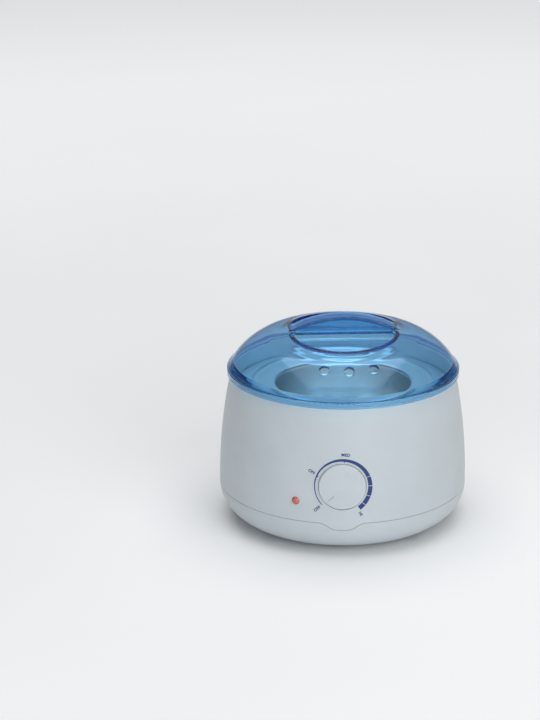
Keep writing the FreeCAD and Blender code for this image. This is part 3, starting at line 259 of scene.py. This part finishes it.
class Nodes:
    """A tree that nodes are added to."""

    def __init__(self, tree):
        self.tree = tree

    def give(self, node, sockets):
        """Sets sockets of a node, by name or number, to values or links."""
        for key, value in sockets.items():
            name = key.replace("_", " ") if isinstance(key, str) else key
            if isinstance(value, Shade):
                self.tree.links.new(value.socket, node.inputs[name])
            else:
                node.inputs[name].default_value = value

    def add(self, kind, settings=None, sockets=None, out=0):
        """Any node: its type, its settings, its sockets, and the output wanted."""
        node = self.tree.nodes.new(kind)
        for name, value in (settings or {}).items():
            setattr(node, name, value)
        self.give(node, sockets or {})
        return Shade(self, node.outputs[out])

    def axes(self, vector):
        """The three parts of a vector."""
        node = self.tree.nodes.new("ShaderNodeSeparateXYZ")
        self.give(node, {"Vector": vector})
        return [Shade(self, socket) for socket in node.outputs]


class Finish(Nodes):
    """A material with one Principled shader."""

    def __init__(self, name, **constants):
        self.material = bpy.data.materials.new(name)
        self.material.use_nodes = True
        super().__init__(self.material.node_tree)
        self.tree.nodes.clear()
        self.output = self.tree.nodes.new("ShaderNodeOutputMaterial")
        self.shader = self.tree.nodes.new("ShaderNodeBsdfPrincipled")
        self.surface = Shade(self, self.shader.outputs["BSDF"])
        self.give(self.output, {"Surface": self.surface})
        self.give(self.shader, constants)

    def paint(self, **sockets):
        """Links what changes over the surface to the shader."""
        self.give(self.shader, sockets)
        return self.material

    def spot(self, move=(0.0, 0.0, 0.0), stretch=(1.0, 1.0, 1.0)):
        """Object coordinates, moved and stretched."""
        here = self.add("ShaderNodeTexCoord", out="Object")
        if move == (0.0, 0.0, 0.0) and stretch == (1.0, 1.0, 1.0):
            return here
        return self.add("ShaderNodeMapping", None, {"Vector": here, "Location": move, "Scale": stretch})

    def noise(self, vector, scale, detail=2.0):
        """Cloudy noise."""
        return self.add("ShaderNodeTexNoise", {"noise_dimensions": "3D"},
                        {"Vector": vector, "Scale": scale, "Detail": detail})

    def line_noise(self, value, scale, detail=2.0):
        """Noise that changes with one value alone."""
        return self.add("ShaderNodeTexNoise", {"noise_dimensions": "1D"},
                        {"W": value, "Scale": scale, "Detail": detail})

    def cells(self, vector, scale):
        """Distance from the middles of scattered cells."""
        return self.add("ShaderNodeTexVoronoi", {"feature": "F1"}, {"Vector": vector, "Scale": scale},
                        out="Distance")

    def blend(self, share, first, second):
        """One colour fading into another, on the Mix node's sockets for colours."""
        return self.add("ShaderNodeMix", {"data_type": "RGBA"},
                        {"Factor": share, 6: rgba(first), 7: rgba(second)}, out=2)

    def bump(self, height, strength, distance):
        """A normal that follows small heights."""
        return self.add("ShaderNodeBump", None,
                        {"Height": height, "Strength": strength, "Distance": distance})


def rgba(value):
    """A colour with its fourth number, or a link as it is."""
    return value if isinstance(value, Shade) else (value[0], value[1], value[2], 1.0)


def tone(value, share):
    """A colour made lighter or darker."""
    return tuple(min(part * share, 1.0) for part in value)


# Finishes

def moulded(name, base, roughness, grain, depth):
    """Moulded plastic: faint cloudy flow, spark-eroded grain and slight gloss changes."""
    finish = Finish(name, IOR=1.5, Specular_IOR_Level=0.45)
    here = finish.spot()
    flow = finish.noise(here, scale=38.0, detail=3.0)
    fine = finish.noise(here, scale=grain)
    handled = finish.noise(here, scale=140.0, detail=4.0).over(0.35, 0.75)
    tint = finish.blend(flow.over(0.3, 0.7), tone(base, 0.975), tone(base, 1.02))
    worn = finish.blend(fine.over(0.42, 0.66) * 0.35, tint, tone(base, 0.955))
    return finish.paint(Base_Color=worn, Roughness=roughness + handled * 0.08 - fine * 0.05,
                        Normal=finish.bump(fine, strength=0.16, distance=depth))


def clear_blue(name, base, depth, lid):
    """Clear moulding that is tinted in its depth and lets lamps through to what is under it."""
    finish = Finish(name, IOR=lid.bend, Transmission_Weight=1.0 - lid.haze, Specular_IOR_Level=lid.gloss)
    flow = finish.noise(finish.spot(), scale=26.0, detail=3.0)
    scuffs = finish.noise(finish.spot(stretch=(1.0, 1.0, 0.2)), scale=420.0, detail=4.0).over(0.56, 0.78)
    tint = finish.blend(flow.over(0.3, 0.72), tone(base, 0.97), tone(base, 1.02))
    finish.paint(Base_Color=tint, Roughness=0.02 + scuffs * 0.05,
                 Normal=finish.bump(flow, strength=0.04, distance=0.0003))
    lamps = finish.add("ShaderNodeLightPath", out="Is Shadow Ray")
    passing = finish.add("ShaderNodeBsdfTransparent")
    mixed = finish.add("ShaderNodeMixShader", None, {0: lamps, 1: finish.surface, 2: passing})
    inside = finish.add("ShaderNodeVolumeAbsorption", None, {"Color": rgba(depth), "Density": lid.density})
    finish.give(finish.output, {"Surface": mixed, "Volume": inside})
    return finish.material


def spun(name, base, roughness, pitch, metal, radius=1.0, flare=0.0):
    """Metal turned on a lathe: rings on flat parts and bands up the walls, duller outside a flared wall."""
    finish = Finish(name, Metallic=metal, Specular_IOR_Level=0.6)
    here = finish.spot()
    x, y, z = finish.axes(here)
    away = (x * x + y * y) ** 0.5
    along = away + z
    half_lip = 0.0002
    outside = (away - z * flare).over(radius - half_lip, radius + half_lip)
    rings = finish.line_noise(along, scale=pitch, detail=3.0)
    bands = finish.line_noise(along, scale=pitch * 0.06)
    stain = finish.noise(here, scale=60.0, detail=4.0).over(0.4, 0.8)
    tint = finish.blend(bands.over(0.3, 0.7), tone(base, 0.93), tone(base, 1.03))
    dull = finish.blend(stain * 0.3, tint, tone(base, 0.86))
    return finish.paint(Base_Color=dull, Roughness=roughness + rings * 0.16 + stain * 0.06 + outside * 0.24,
                        Normal=finish.bump(rings, strength=0.22, distance=0.00006))


def sheet(name, base, roughness, stretch):
    """Rolled or plated metal with fine straight marks."""
    finish = Finish(name, Metallic=1.0)
    marks = finish.noise(finish.spot(stretch=stretch), scale=900.0, detail=3.0)
    patches = finish.noise(finish.spot(), scale=120.0, detail=3.0)
    tint = finish.blend(patches.over(0.35, 0.7), tone(base, 0.86), tone(base, 1.06))
    return finish.paint(Base_Color=tint, Roughness=roughness + marks * 0.2,
                        Normal=finish.bump(marks, strength=0.12, distance=0.00004))


def soft_rubber(name, base, roughness, grain):
    """Matt rubber with a dusty bloom."""
    finish = Finish(name, IOR=1.5, Specular_IOR_Level=0.3)
    here = finish.spot()
    pores = finish.noise(here, scale=grain, detail=3.0)
    bloom = finish.noise(here, scale=170.0, detail=4.0).over(0.45, 0.8)
    tint = finish.blend(bloom * 0.5, base, tone(base, 1.9))
    return finish.paint(Base_Color=tint, Roughness=roughness + pores * 0.12,
                        Normal=finish.bump(pores, strength=0.3, distance=0.00008))


def speckled(name, base, flake, scale, roughness):
    """Filled resin or mica: flakes of another tone."""
    finish = Finish(name, IOR=1.55, Specular_IOR_Level=0.4)
    here = finish.spot()
    flakes = finish.cells(here, scale)
    cloud = finish.noise(here, scale=scale * 0.25, detail=3.0)
    ground = finish.blend(cloud, tone(base, 0.88), tone(base, 1.1))
    return finish.paint(Base_Color=finish.blend(flakes.over(0.2, 0.62), flake, ground),
                        Roughness=roughness + flakes * 0.14,
                        Normal=finish.bump(flakes, strength=0.1, distance=0.00005))


def glowing_lens(name, base):
    """Red lens: a paler middle, a moulded prism pattern, a gloss skin and a painted glow in the same colours.
    """
    # The emission is a painted glow: the lens lights itself, and more strongly where its middle is paler.
    finish = Finish(name, IOR=1.49, Coat_Weight=0.6, Coat_Roughness=0.05, Emission_Strength=0.16)
    x, _, z = finish.axes(finish.spot(move=tuple((LENS_LOW + LENS_HIGH) / -2)))
    away = (x * x + z * z) ** 0.5
    prisms = finish.cells(finish.spot(), 1500.0)
    pale = finish.blend(away.over(0.0003, 0.0026), tone(base, 1.25), tone(base, 0.82))
    tint = finish.blend(prisms.over(0.2, 0.7) * 0.25, pale, tone(base, 0.75))
    return finish.paint(Base_Color=tint, Emission_Color=tint, Roughness=0.16 + prisms * 0.12,
                        Normal=finish.bump(prisms, strength=0.25, distance=0.0001))


def printed(name, base):
    """Pad-printed ink: slightly uneven cover and a dull gloss."""
    finish = Finish(name, IOR=1.5, Specular_IOR_Level=0.4)
    here = finish.spot()
    cover = finish.noise(here, scale=1800.0, detail=3.0)
    cloud = finish.noise(here, scale=160.0)
    ground = finish.blend(cloud, tone(base, 0.9), tone(base, 1.15))
    return finish.paint(Base_Color=finish.blend(cover.over(0.55, 0.85) * 0.3, ground, tone(base, 1.7)),
                        Roughness=0.38 + cover * 0.14,
                        Normal=finish.bump(cover, strength=0.08, distance=0.00003))


def thin_glass(name, base):
    """Small glass bulb with a smoky inside."""
    finish = Finish(name, IOR=1.5, Transmission_Weight=0.8)
    cloud = finish.noise(finish.spot(), scale=700.0, detail=3.0)
    tint = finish.blend(cloud.over(0.3, 0.7), tone(base, 0.8), base)
    return finish.paint(Base_Color=tint, Roughness=0.06 + cloud * 0.1)


def paved(name, base, lift):
    """Pale floor paper with a faint tooth, which the camera sees grow lighter away from the heater."""
    finish = Finish(name, Roughness=0.75, Specular_IOR_Level=0.15, Emission_Strength=1.0)
    here = finish.spot()
    x, y, _ = finish.axes(here)
    tooth = finish.noise(here, scale=260.0, detail=3.0)
    cloud = finish.noise(here, scale=3.0)
    tint = finish.blend(cloud.over(0.3, 0.7), tone(base, 0.985), tone(base, 1.01))
    away = ((x * x + y * y) ** 0.5).over(0.15, 1.6)
    seen = finish.add("ShaderNodeLightPath", out="Is Camera Ray")
    glow = finish.blend(away * seen, (0.0, 0.0, 0.0), (lift, lift, lift))
    return finish.paint(Base_Color=finish.blend(tooth * 0.12, tint, tone(base, 0.94)), Emission_Color=glow,
                        Normal=finish.bump(tooth, strength=0.05, distance=0.0003))


def dress(material, *nodes):
    """Gives CAD nodes their finish."""
    for name in nodes:
        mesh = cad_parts[name].data
        mesh.materials.clear()
        mesh.materials.append(material)


def piece(name, bm, material, body):
    """Makes an object of a bmesh and lets it ride on a body."""
    mesh = bpy.data.meshes.new(name)
    bm.to_mesh(mesh)
    bm.free()
    mesh.materials.append(material)
    item = bpy.data.objects.new(name, mesh)
    bpy.context.scene.collection.objects.link(item)
    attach(item, body)
    return item


def ramp(value, low, high):
    """0 below low, 1 above high, smooth between."""
    share = min(max((value - low) / (high - low), 0.0), 1.0)
    return share * share * (3 - 2 * share)


# The lid's dome

def plain_dome(sizes, away):
    """Height of the solid's dome at a distance from the axis."""
    tall = sizes.top - sizes.foot
    ball = (sizes.edge ** 2 + tall ** 2) / 2 / tall
    return sizes.top - ball + math.sqrt(max(ball ** 2 - away ** 2, 0.0))


def full_dome(sizes, away):
    """Height of the fuller dome: a flat crown that runs into a round shoulder."""
    ball = (sizes.crown ** 2 + sizes.fall ** 2) / 2 / sizes.fall
    rise = ball - sizes.fall
    if away < sizes.crown:
        return sizes.top - ball + math.sqrt(ball ** 2 - away ** 2)
    run = sizes.edge - sizes.crown
    drop = sizes.top - sizes.fall - sizes.foot
    bend = (run ** 2 + drop ** 2) / 2 / ((drop * rise - run * sizes.crown) / ball)
    share = 1.0 - bend / ball
    side = away - sizes.crown * share
    return sizes.top - ball + rise * share + math.sqrt(max(bend ** 2 - side ** 2, 0.0))


def fuller_dome(sizes, away):
    """Height of the lid's dome here: the solid's crown, which fills out towards the shoulder."""
    plain = plain_dome(sizes, away)
    return plain + (full_dome(sizes, away) - plain) * ramp(away, sizes.swell_start, sizes.swell_full)


def filled_out(sizes, point):
    """Where a point of the solid's lid lies on the fuller one."""
    away = max(math.hypot(point.x, point.y), OFF_AXIS)
    if away >= sizes.edge:
        return point.copy()
    plain = plain_dome(sizes, away)
    on_dome = min(max((point.z - sizes.seat) / (sizes.foot - sizes.seat), 0.0), 1.0)
    in_front = max(-point.y / away, 0.0) ** 2
    by_holes = ramp(away, sizes.shift_start, sizes.shift_full) - ramp(away, sizes.shift_hold, sizes.shift_end)
    moved = Vector((point.x, point.y - sizes.hole_shift * in_front * by_holes * on_dome, point.z))
    reach = min(math.hypot(moved.x, moved.y), sizes.edge)
    moved.z += (fuller_dome(sizes, reach) - plain) * on_dome
    moved.z += sizes.ridge_share * max(point.z - plain - sizes.ridge_foot, 0.0)
    return moved


def facing_after(sizes, point):
    """The matrix that turns a normal as the fuller shape turns the surface at a point."""
    columns = []
    for axis in range(3):
        step = Vector((0.0, 0.0, 0.0))
        step[axis] = SLOPE_STEP
        columns.append((filled_out(sizes, point + step) - filled_out(sizes, point - step)) / (2 * SLOPE_STEP))
    return Matrix(columns).inverted()


def fuller_lid(sizes, material):
    """A copy of the lid's solid, filled out to the fuller dome, which stands for it."""
    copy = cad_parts["lid"].data.copy()
    facing = copy.attributes.new("facing", "FLOAT_VECTOR", "CORNER")
    facing.data.foreach_set("vector", [part for corner in copy.corner_normals for part in corner.vector])
    bm = bmesh.new()
    bm.from_mesh(copy)
    bpy.data.meshes.remove(copy)
    bmesh.ops.remove_doubles(bm, verts=bm.verts[:], dist=SAME_PLACE)
    layer = bm.loops.layers.float_vector["facing"]
    for vert in bm.verts:
        turned = facing_after(sizes, vert.co)
        for loop in vert.link_loops:
            loop[layer] = (turned @ loop[layer]).normalized()
        vert.co = filled_out(sizes, vert.co)
    item = piece("clear_lid", bm, material, "lid")
    mesh = item.data
    mesh.shade_smooth()
    mesh.normals_split_custom_set([corner.vector.copy() for corner in mesh.attributes["facing"].data])
    mesh.attributes.remove(mesh.attributes["facing"])
    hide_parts("lid")


# The print on the barrel-shaped side

def clock(turn):
    """Direction on the dial for an angle clockwise from the top."""
    return Vector((math.sin(turn), 0.0, math.cos(turn)))


def dial_middle(sizes):
    """Middle of the dial, in the XZ plane that the print is drawn in."""
    return Vector((0.0, 0.0, sizes.dial_height))


def on_barrel(sizes, x, z, proud):
    """The point of the housing's front over (x, z), standing out by proud."""
    rise = z - sizes.barrel_height
    radius = math.sqrt(sizes.barrel_curve ** 2 - rise ** 2) - sizes.barrel_middle + proud
    return Vector((x, -math.sqrt(radius ** 2 - x ** 2), z))


def lay_print(bm, sizes):
    """Wraps a flat print, drawn in the XZ plane, round the housing and gives it its thickness."""
    for vert in bm.verts:
        vert.co = on_barrel(sizes, vert.co.x, vert.co.z, sizes.coat)
    for face in bm.faces:
        face.normal_update()
        if face.normal.y > 0:
            face.normal_flip()
    bmesh.ops.solidify(bm, geom=bm.faces[:], thickness=2 * sizes.coat)
    bmesh.ops.recalc_face_normals(bm, faces=bm.faces[:])


def ring_strip(bm, sizes, start, end, step):
    """Adds a strip of the ring between two angles, of even width."""
    middle = dial_middle(sizes)
    inner = bm.verts.new(middle + clock(start) * (sizes.ring_radius - sizes.thick_end))
    outer = bm.verts.new(middle + clock(start) * (sizes.ring_radius + sizes.thick_end))
    edge = bm.edges.new((inner, outer))
    bmesh.ops.spin(bm, geom=[inner, outer, edge], cent=middle, axis=(0.0, 1.0, 0.0), angle=end - start,
                   steps=max(round((end - start) / step), 1), use_merge=False, use_normal_flip=False,
                   use_duplicate=False)


def on_ring(sizes, point):
    """Where a point of a strip lies on the ring, which grows in width and has marks inside."""
    middle = dial_middle(sizes)
    arm = point - middle
    turn = math.atan2(arm.x, arm.z)
    width = sizes.thin_end + (sizes.thick_end - sizes.thin_end) * ramp(turn, sizes.ring_start, sizes.ring_end)
    reach = width / 2
    if arm.length < sizes.ring_radius:
        near = min(abs(turn - math.radians(mark)) for mark in RING_MARKS)
        reach = -reach - sizes.tick * max(0.0, 1.0 - near / sizes.tick_spread)
    return middle + clock(turn) * (sizes.ring_radius + reach)


def flat_word(context, sizes, word):
    """A word as a flat bmesh in the XY plane, with its middle at the origin."""
    curve = bpy.data.curves.new("word_" + word, "FONT")
    curve.body = word
    curve.size = sizes.letter / sizes.letter_share
    curve.space_character = sizes.letter_space
    curve.offset = sizes.letter_weight * sizes.letter
    curve.align_x = "CENTER"
    curve.align_y = "CENTER"
    writing = bpy.data.objects.new("word_" + word, curve)
    context.scene.collection.objects.link(writing)
    context.view_layer.update()
    flat = bpy.data.meshes.new_from_object(writing.evaluated_get(context.evaluated_depsgraph_get()))
    bpy.data.objects.remove(writing)
    bpy.data.curves.remove(curve)
    bm = bmesh.new()
    bm.from_mesh(flat)
    bpy.data.meshes.remove(flat)
    bmesh.ops.remove_doubles(bm, verts=bm.verts[:], dist=SAME_PLACE)
    return bm


# Steps

class HEATER_OT_housing(bpy.types.Operator):
    """Finish the two housing mouldings"""
    bl_idname = "heater.housing"
    bl_label = "Housing"

    def execute(self, context):
        white = context.scene.heater_colours.housing
        dress(moulded("satin_white", white, roughness=0.40, grain=2300.0, depth=0.00005),
              "upper_housing", "lower_housing")
        return {"FINISHED"}


class HEATER_OT_lid(bpy.types.Operator):
    """Make the clear lid, with its fuller shoulder"""
    bl_idname = "heater.lid"
    bl_label = "Lid"

    def execute(self, context):
        scene = context.scene
        colours = scene.heater_colours
        plastic = clear_blue("clear_blue", colours.lid, colours.lid_depth, scene.heater_lid)
        fuller_lid(scene.heater_dome, plastic)
        return {"FINISHED"}


class HEATER_OT_vessels(bpy.types.Operator):
    """Finish the heated pot, its gasket and the lift-out container"""
    bl_idname = "heater.vessels"
    bl_label = "Pot and container"

    wall: length("Wall", "Radius of the middle of the container's wall, carried down to the floor", 0.04066)
    flare: number("Flare", "How much wider the container's wall gets with height", 0.0336)

    def execute(self, context):
        metal = context.scene.heater_colours.aluminium
        dress(spun("spun_container", metal, roughness=0.06, pitch=2600.0, metal=0.97, radius=self.wall,
                   flare=self.flare), "wax_container")
        dress(spun("spun_pot", tone(metal, 0.94), roughness=0.28, pitch=1900.0, metal=1.0), "heating_pot")
        silicone = context.scene.heater_insides.silicone
        dress(soft_rubber("pale_silicone", silicone, roughness=0.5, grain=1600.0), "pot_gasket")
        return {"FINISHED"}


class HEATER_OT_knob(bpy.types.Operator):
    """Finish the knob"""
    bl_idname = "heater.knob"
    bl_label = "Knob"

    def execute(self, context):
        white = context.scene.heater_colours.knob
        dress(moulded("smooth_white", white, roughness=0.30, grain=3200.0, depth=0.00002), "control_knob")
        return {"FINISHED"}


class HEATER_OT_feet(bpy.types.Operator):
    """Finish the feet and the screws of the housing"""
    bl_idname = "heater.feet"
    bl_label = "Feet and screws"

    def execute(self, context):
        colours = context.scene.heater_colours
        dress(soft_rubber("foot_black", colours.rubber, roughness=0.7, grain=1500.0), "rubber_feet")
        dress(sheet("zinc_screw", colours.zinc, roughness=0.26, stretch=(1.0, 1.0, 6.0)), "housing_screws")
        return {"FINISHED"}


class HEATER_OT_indicator(bpy.types.Operator):
    """Finish the indicator: lens, holder and glow lamp"""
    bl_idname = "heater.indicator"
    bl_label = "Indicator"

    def execute(self, context):
        insides = context.scene.heater_insides
        dress(glowing_lens("red_lens", context.scene.heater_colours.lens), "indicator_lens")
        dress(moulded("lamp_nylon", insides.nylon, roughness=0.45, grain=2000.0, depth=0.00003),
              "lamp_holder")
        dress(thin_glass("lamp_glass", insides.bulb), "glow_lamp")
        return {"FINISHED"}


class HEATER_OT_inlet(bpy.types.Operator):
    """Finish the cord inlet"""
    bl_idname = "heater.inlet"
    bl_label = "Cord inlet"

    def execute(self, context):
        grey = context.scene.heater_colours.inlet
        dress(moulded("inlet_grey", grey, roughness=0.42, grain=1800.0, depth=0.00004),
              "cord_gland", "gland_nut")
        return {"FINISHED"}


class HEATER_OT_heater_stack(bpy.types.Operator):
    """Finish the heater stack under the pot"""
    bl_idname = "heater.heater_stack"
    bl_label = "Heater stack"

    def execute(self, context):
        insides = context.scene.heater_insides
        dress(speckled("mica_board", insides.mica, insides.mica_flake, scale=700.0, roughness=0.45),
              "mica_heater")
        dress(sheet("clamp_steel", insides.clamp, roughness=0.30, stretch=(1.0, 9.0, 1.0)), "heater_clamp")
        dress(sheet("stud_steel", insides.stud, roughness=0.26, stretch=(1.0, 1.0, 8.0)),
              "clamp_stud", "stud_nuts", "shield_spacer")
        dress(sheet("shield_sheet", insides.shield, roughness=0.30, stretch=(9.0, 1.0, 1.0)), "heat_shield")
        dress(sheet("tab_brass", insides.tab, roughness=0.28, stretch=(1.0, 6.0, 1.0)), "heater_tabs")
        return {"FINISHED"}


class HEATER_OT_thermostat(bpy.types.Operator):
    """Finish the thermostat and the thermal fuse"""
    bl_idname = "heater.thermostat"
    bl_label = "Thermostat and fuse"

    def execute(self, context):
        insides = context.scene.heater_insides
        dress(speckled("brown_resin", insides.resin, insides.resin_flake, scale=1400.0, roughness=0.42),
              "thermostat_body")
        dress(sheet("saddle_metal", insides.saddle, roughness=0.34, stretch=(1.0, 1.0, 7.0)),
              "thermostat_saddle", "fuse_clip")
        dress(sheet("fixing_steel", insides.fixing, roughness=0.26, stretch=(1.0, 6.0, 1.0)),
              "thermostat_screws", "thermostat_spindle")
        dress(sheet("blade_brass", insides.blade, roughness=0.28, stretch=(6.0, 1.0, 1.0)),
              "thermostat_blades")
        dress(sheet("fuse_tin", insides.tin, roughness=0.24, stretch=(1.0, 6.0, 1.0)), "thermal_fuse")
        return {"FINISHED"}


class HEATER_OT_wiring(bpy.types.Operator):
    """Finish the terminal block and the wires"""
    bl_idname = "heater.wiring"
    bl_label = "Wiring"

    def execute(self, context):
        insides = context.scene.heater_insides
        dress(moulded("block_natural", insides.block, roughness=0.46, grain=1500.0, depth=0.00004),
              "terminal_block")
        dress(sheet("pole_brass", insides.pole, roughness=0.28, stretch=(1.0, 6.0, 1.0)), "terminal_screws")
        dress(soft_rubber("sleeve_white", insides.sleeve, roughness=0.55, grain=1300.0), "wire_harness")
        return {"FINISHED"}


class HEATER_OT_dial_ring(bpy.types.Operator):
    """Print the dial's ring, which grows from OFF to HI, with its marks and gaps"""
    bl_idname = "heater.dial_ring"
    bl_label = "Dial ring"

    step: angle("Step", "Angle between points of the ring", 0.75)

    def execute(self, context):
        sizes = context.scene.heater_print
        half_gap = sizes.gap / sizes.ring_radius / 2
        cuts = [math.radians(cut) for cut in RING_CUTS]
        starts = [sizes.ring_start] + [cut + half_gap for cut in cuts]
        ends = [cut - half_gap for cut in cuts] + [sizes.ring_end]
        bm = bmesh.new()
        for start, end in zip(starts, ends):
            ring_strip(bm, sizes, start, end, self.step)
        for vert in bm.verts:
            vert.co = on_ring(sizes, vert.co)
        lay_print(bm, sizes)
        piece("dial_ring", bm, printed("dial_ink", context.scene.heater_colours.ink), "base")
        return {"FINISHED"}


class HEATER_OT_dial_words(bpy.types.Operator):
    """Print the words of the dial"""
    bl_idname = "heater.dial_words"
    bl_label = "Dial words"

    def execute(self, context):
        sizes = context.scene.heater_print
        ink = printed("word_ink", context.scene.heater_colours.ink)
        stand = Matrix.Rotation(math.radians(90.0), 4, "X")
        for word, turn, radius, lean in DIAL_WORDS:
            bm = flat_word(context, sizes, word)
            place = Matrix.Translation(dial_middle(sizes) + clock(math.radians(turn)) * radius)
            swing = Matrix.Rotation(-math.radians(lean), 4, "Y")
            bmesh.ops.transform(bm, matrix=place @ swing @ stand, verts=bm.verts[:])
            lay_print(bm, sizes)
            piece("dial_word_" + word.lower(), bm, ink, "base")
        return {"FINISHED"}


class HEATER_OT_stage(bpy.types.Operator):
    """Set the floor, the lamps, the even light and the camera"""
    bl_idname = "heater.stage"
    bl_label = "Stage"

    def execute(self, context):
        scene = context.scene
        stage = scene.heater_stage
        scene.view_settings.view_transform = "Standard"
        scene.cycles.max_bounces = 24
        scene.cycles.transmission_bounces = 24
        scene.cycles.glossy_bounces = 8
        self.floor(scene, stage)
        self.lamp(scene, "key_lamp", stage.key, stage.key_tint,
                  width=1.2, height=1.2, place=(0.95, -1.15, 0.95))
        self.lamp(scene, "fill_lamp", stage.fill, stage.fill_tint,
                  width=2.6, height=0.8, place=(0.15, -1.80, 0.70))
        self.lamp(scene, "crown_lamp", stage.crown, stage.crown_tint,
                  width=1.75, height=1.75, place=(0.0, 0.12, 1.6))
        self.even_light(scene, stage)
        self.camera(scene, stage)
        return {"FINISHED"}

    def floor(self, scene, stage):
        """A sheet of pale paper, wide enough to fill the picture."""
        bm = bmesh.new()
        bmesh.ops.create_grid(bm, x_segments=1, y_segments=1, size=stage.floor_half)
        mesh = bpy.data.meshes.new("paper_floor")
        bm.to_mesh(mesh)
        bm.free()
        mesh.materials.append(paved("pale_paper", stage.floor, stage.far_floor))
        item = bpy.data.objects.new("paper_floor", mesh)
        scene.collection.objects.link(item)

    def lamp(self, scene, name, watts, tint, width, height, place):
        """A soft box that faces the heater."""
        light = bpy.data.lights.new(name, "AREA")
        light.shape = "RECTANGLE"
        light.size = width
        light.size_y = height
        light.energy = watts
        light.color = tint
        item = bpy.data.objects.new(name, light)
        item.location = place
        aim = Vector((0.0, 0.0, scene.heater_stage.lamp_aim)) - item.location
        item.rotation_euler = aim.to_track_quat("-Z", "Y").to_euler()
        scene.collection.objects.link(item)

    def even_light(self, scene, stage):
        """Light from all round that fades at the sides, so that bright metal shows dark flanks."""
        world = bpy.data.worlds.new("even_light")
        world.use_nodes = True
        scene.world = world
        nodes = Nodes(world.node_tree)
        x, _, _ = nodes.axes(nodes.add("ShaderNodeTexCoord", out="Generated"))
        strength = abs(x).over(stage.fade_start, stage.fade_end, stage.sky, stage.sky * stage.side_share)
        nodes.give(world.node_tree.nodes["Background"], {"Color": rgba(stage.sky_tint), "Strength": strength})

    def camera(self, scene, stage):
        """The camera at the picture's angle; the shift keeps the heater off the middle as in the picture."""
        lens = bpy.data.cameras.new("camera")
        lens.sensor_fit = "HORIZONTAL"
        lens.sensor_width = stage.frame_width
        lens.lens = stage.focal
        lens.shift_x = stage.shift_x
        lens.shift_y = stage.shift_y
        lens.clip_start = 0.05
        item = bpy.data.objects.new("camera", lens)
        eye = stage.distance * Vector((0.0, -math.cos(stage.elevation), math.sin(stage.elevation)))
        down = math.atan2(eye.z - stage.aim_height, -eye.y)
        item.matrix_world = (Matrix.Translation(eye) @ Matrix.Rotation(math.pi / 2 - down, 4, "X")
                             @ Matrix.Rotation(stage.roll, 4, "Z"))
        scene.collection.objects.link(item)
        scene.camera = item


class HEATER_PT_panel(bpy.types.Panel):
    """Steps of the heater"""
    bl_idname = "HEATER_PT_panel"
    bl_label = "Wax Heater"
    bl_space_type = "VIEW_3D"
    bl_region_type = "UI"
    bl_category = "Heater"

    def draw(self, context):
        for step in STEPS:
            self.layout.operator(step.bl_idname)
        for scene_name in GROUPS:
            group = getattr(context.scene, scene_name)
            box = self.layout.box()
            for name in group.bl_rna.properties.keys():
                if name not in ("rna_type", "name"):
                    box.prop(group, name)


GROUPS = {
    "heater_colours": HeaterColours,
    "heater_insides": HeaterInsides,
    "heater_lid": HeaterLid,
    "heater_dome": HeaterDome,
    "heater_print": HeaterPrint,
    "heater_stage": HeaterStage,
}
STEPS = (
    HEATER_OT_housing,
    HEATER_OT_lid,
    HEATER_OT_vessels,
    HEATER_OT_knob,
    HEATER_OT_feet,
    HEATER_OT_indicator,
    HEATER_OT_inlet,
    HEATER_OT_heater_stack,
    HEATER_OT_thermostat,
    HEATER_OT_wiring,
    HEATER_OT_dial_ring,
    HEATER_OT_dial_words,
    HEATER_OT_stage,
)
CLASSES = (*GROUPS.values(), *STEPS, HEATER_PT_panel)


def register():
    for item in CLASSES:
        bpy.utils.register_class(item)
    for scene_name, group in GROUPS.items():
        setattr(bpy.types.Scene, scene_name, PointerProperty(type=group))


def unregister():
    for scene_name in GROUPS:
        delattr(bpy.types.Scene, scene_name)
    for item in reversed(CLASSES):
        bpy.utils.unregister_class(item)


def main():
    register()
    for step in STEPS:
        group, name = step.bl_idname.split(".")
        getattr(getattr(bpy.ops, group), name)()


if __name__ == "__main__":
    main()
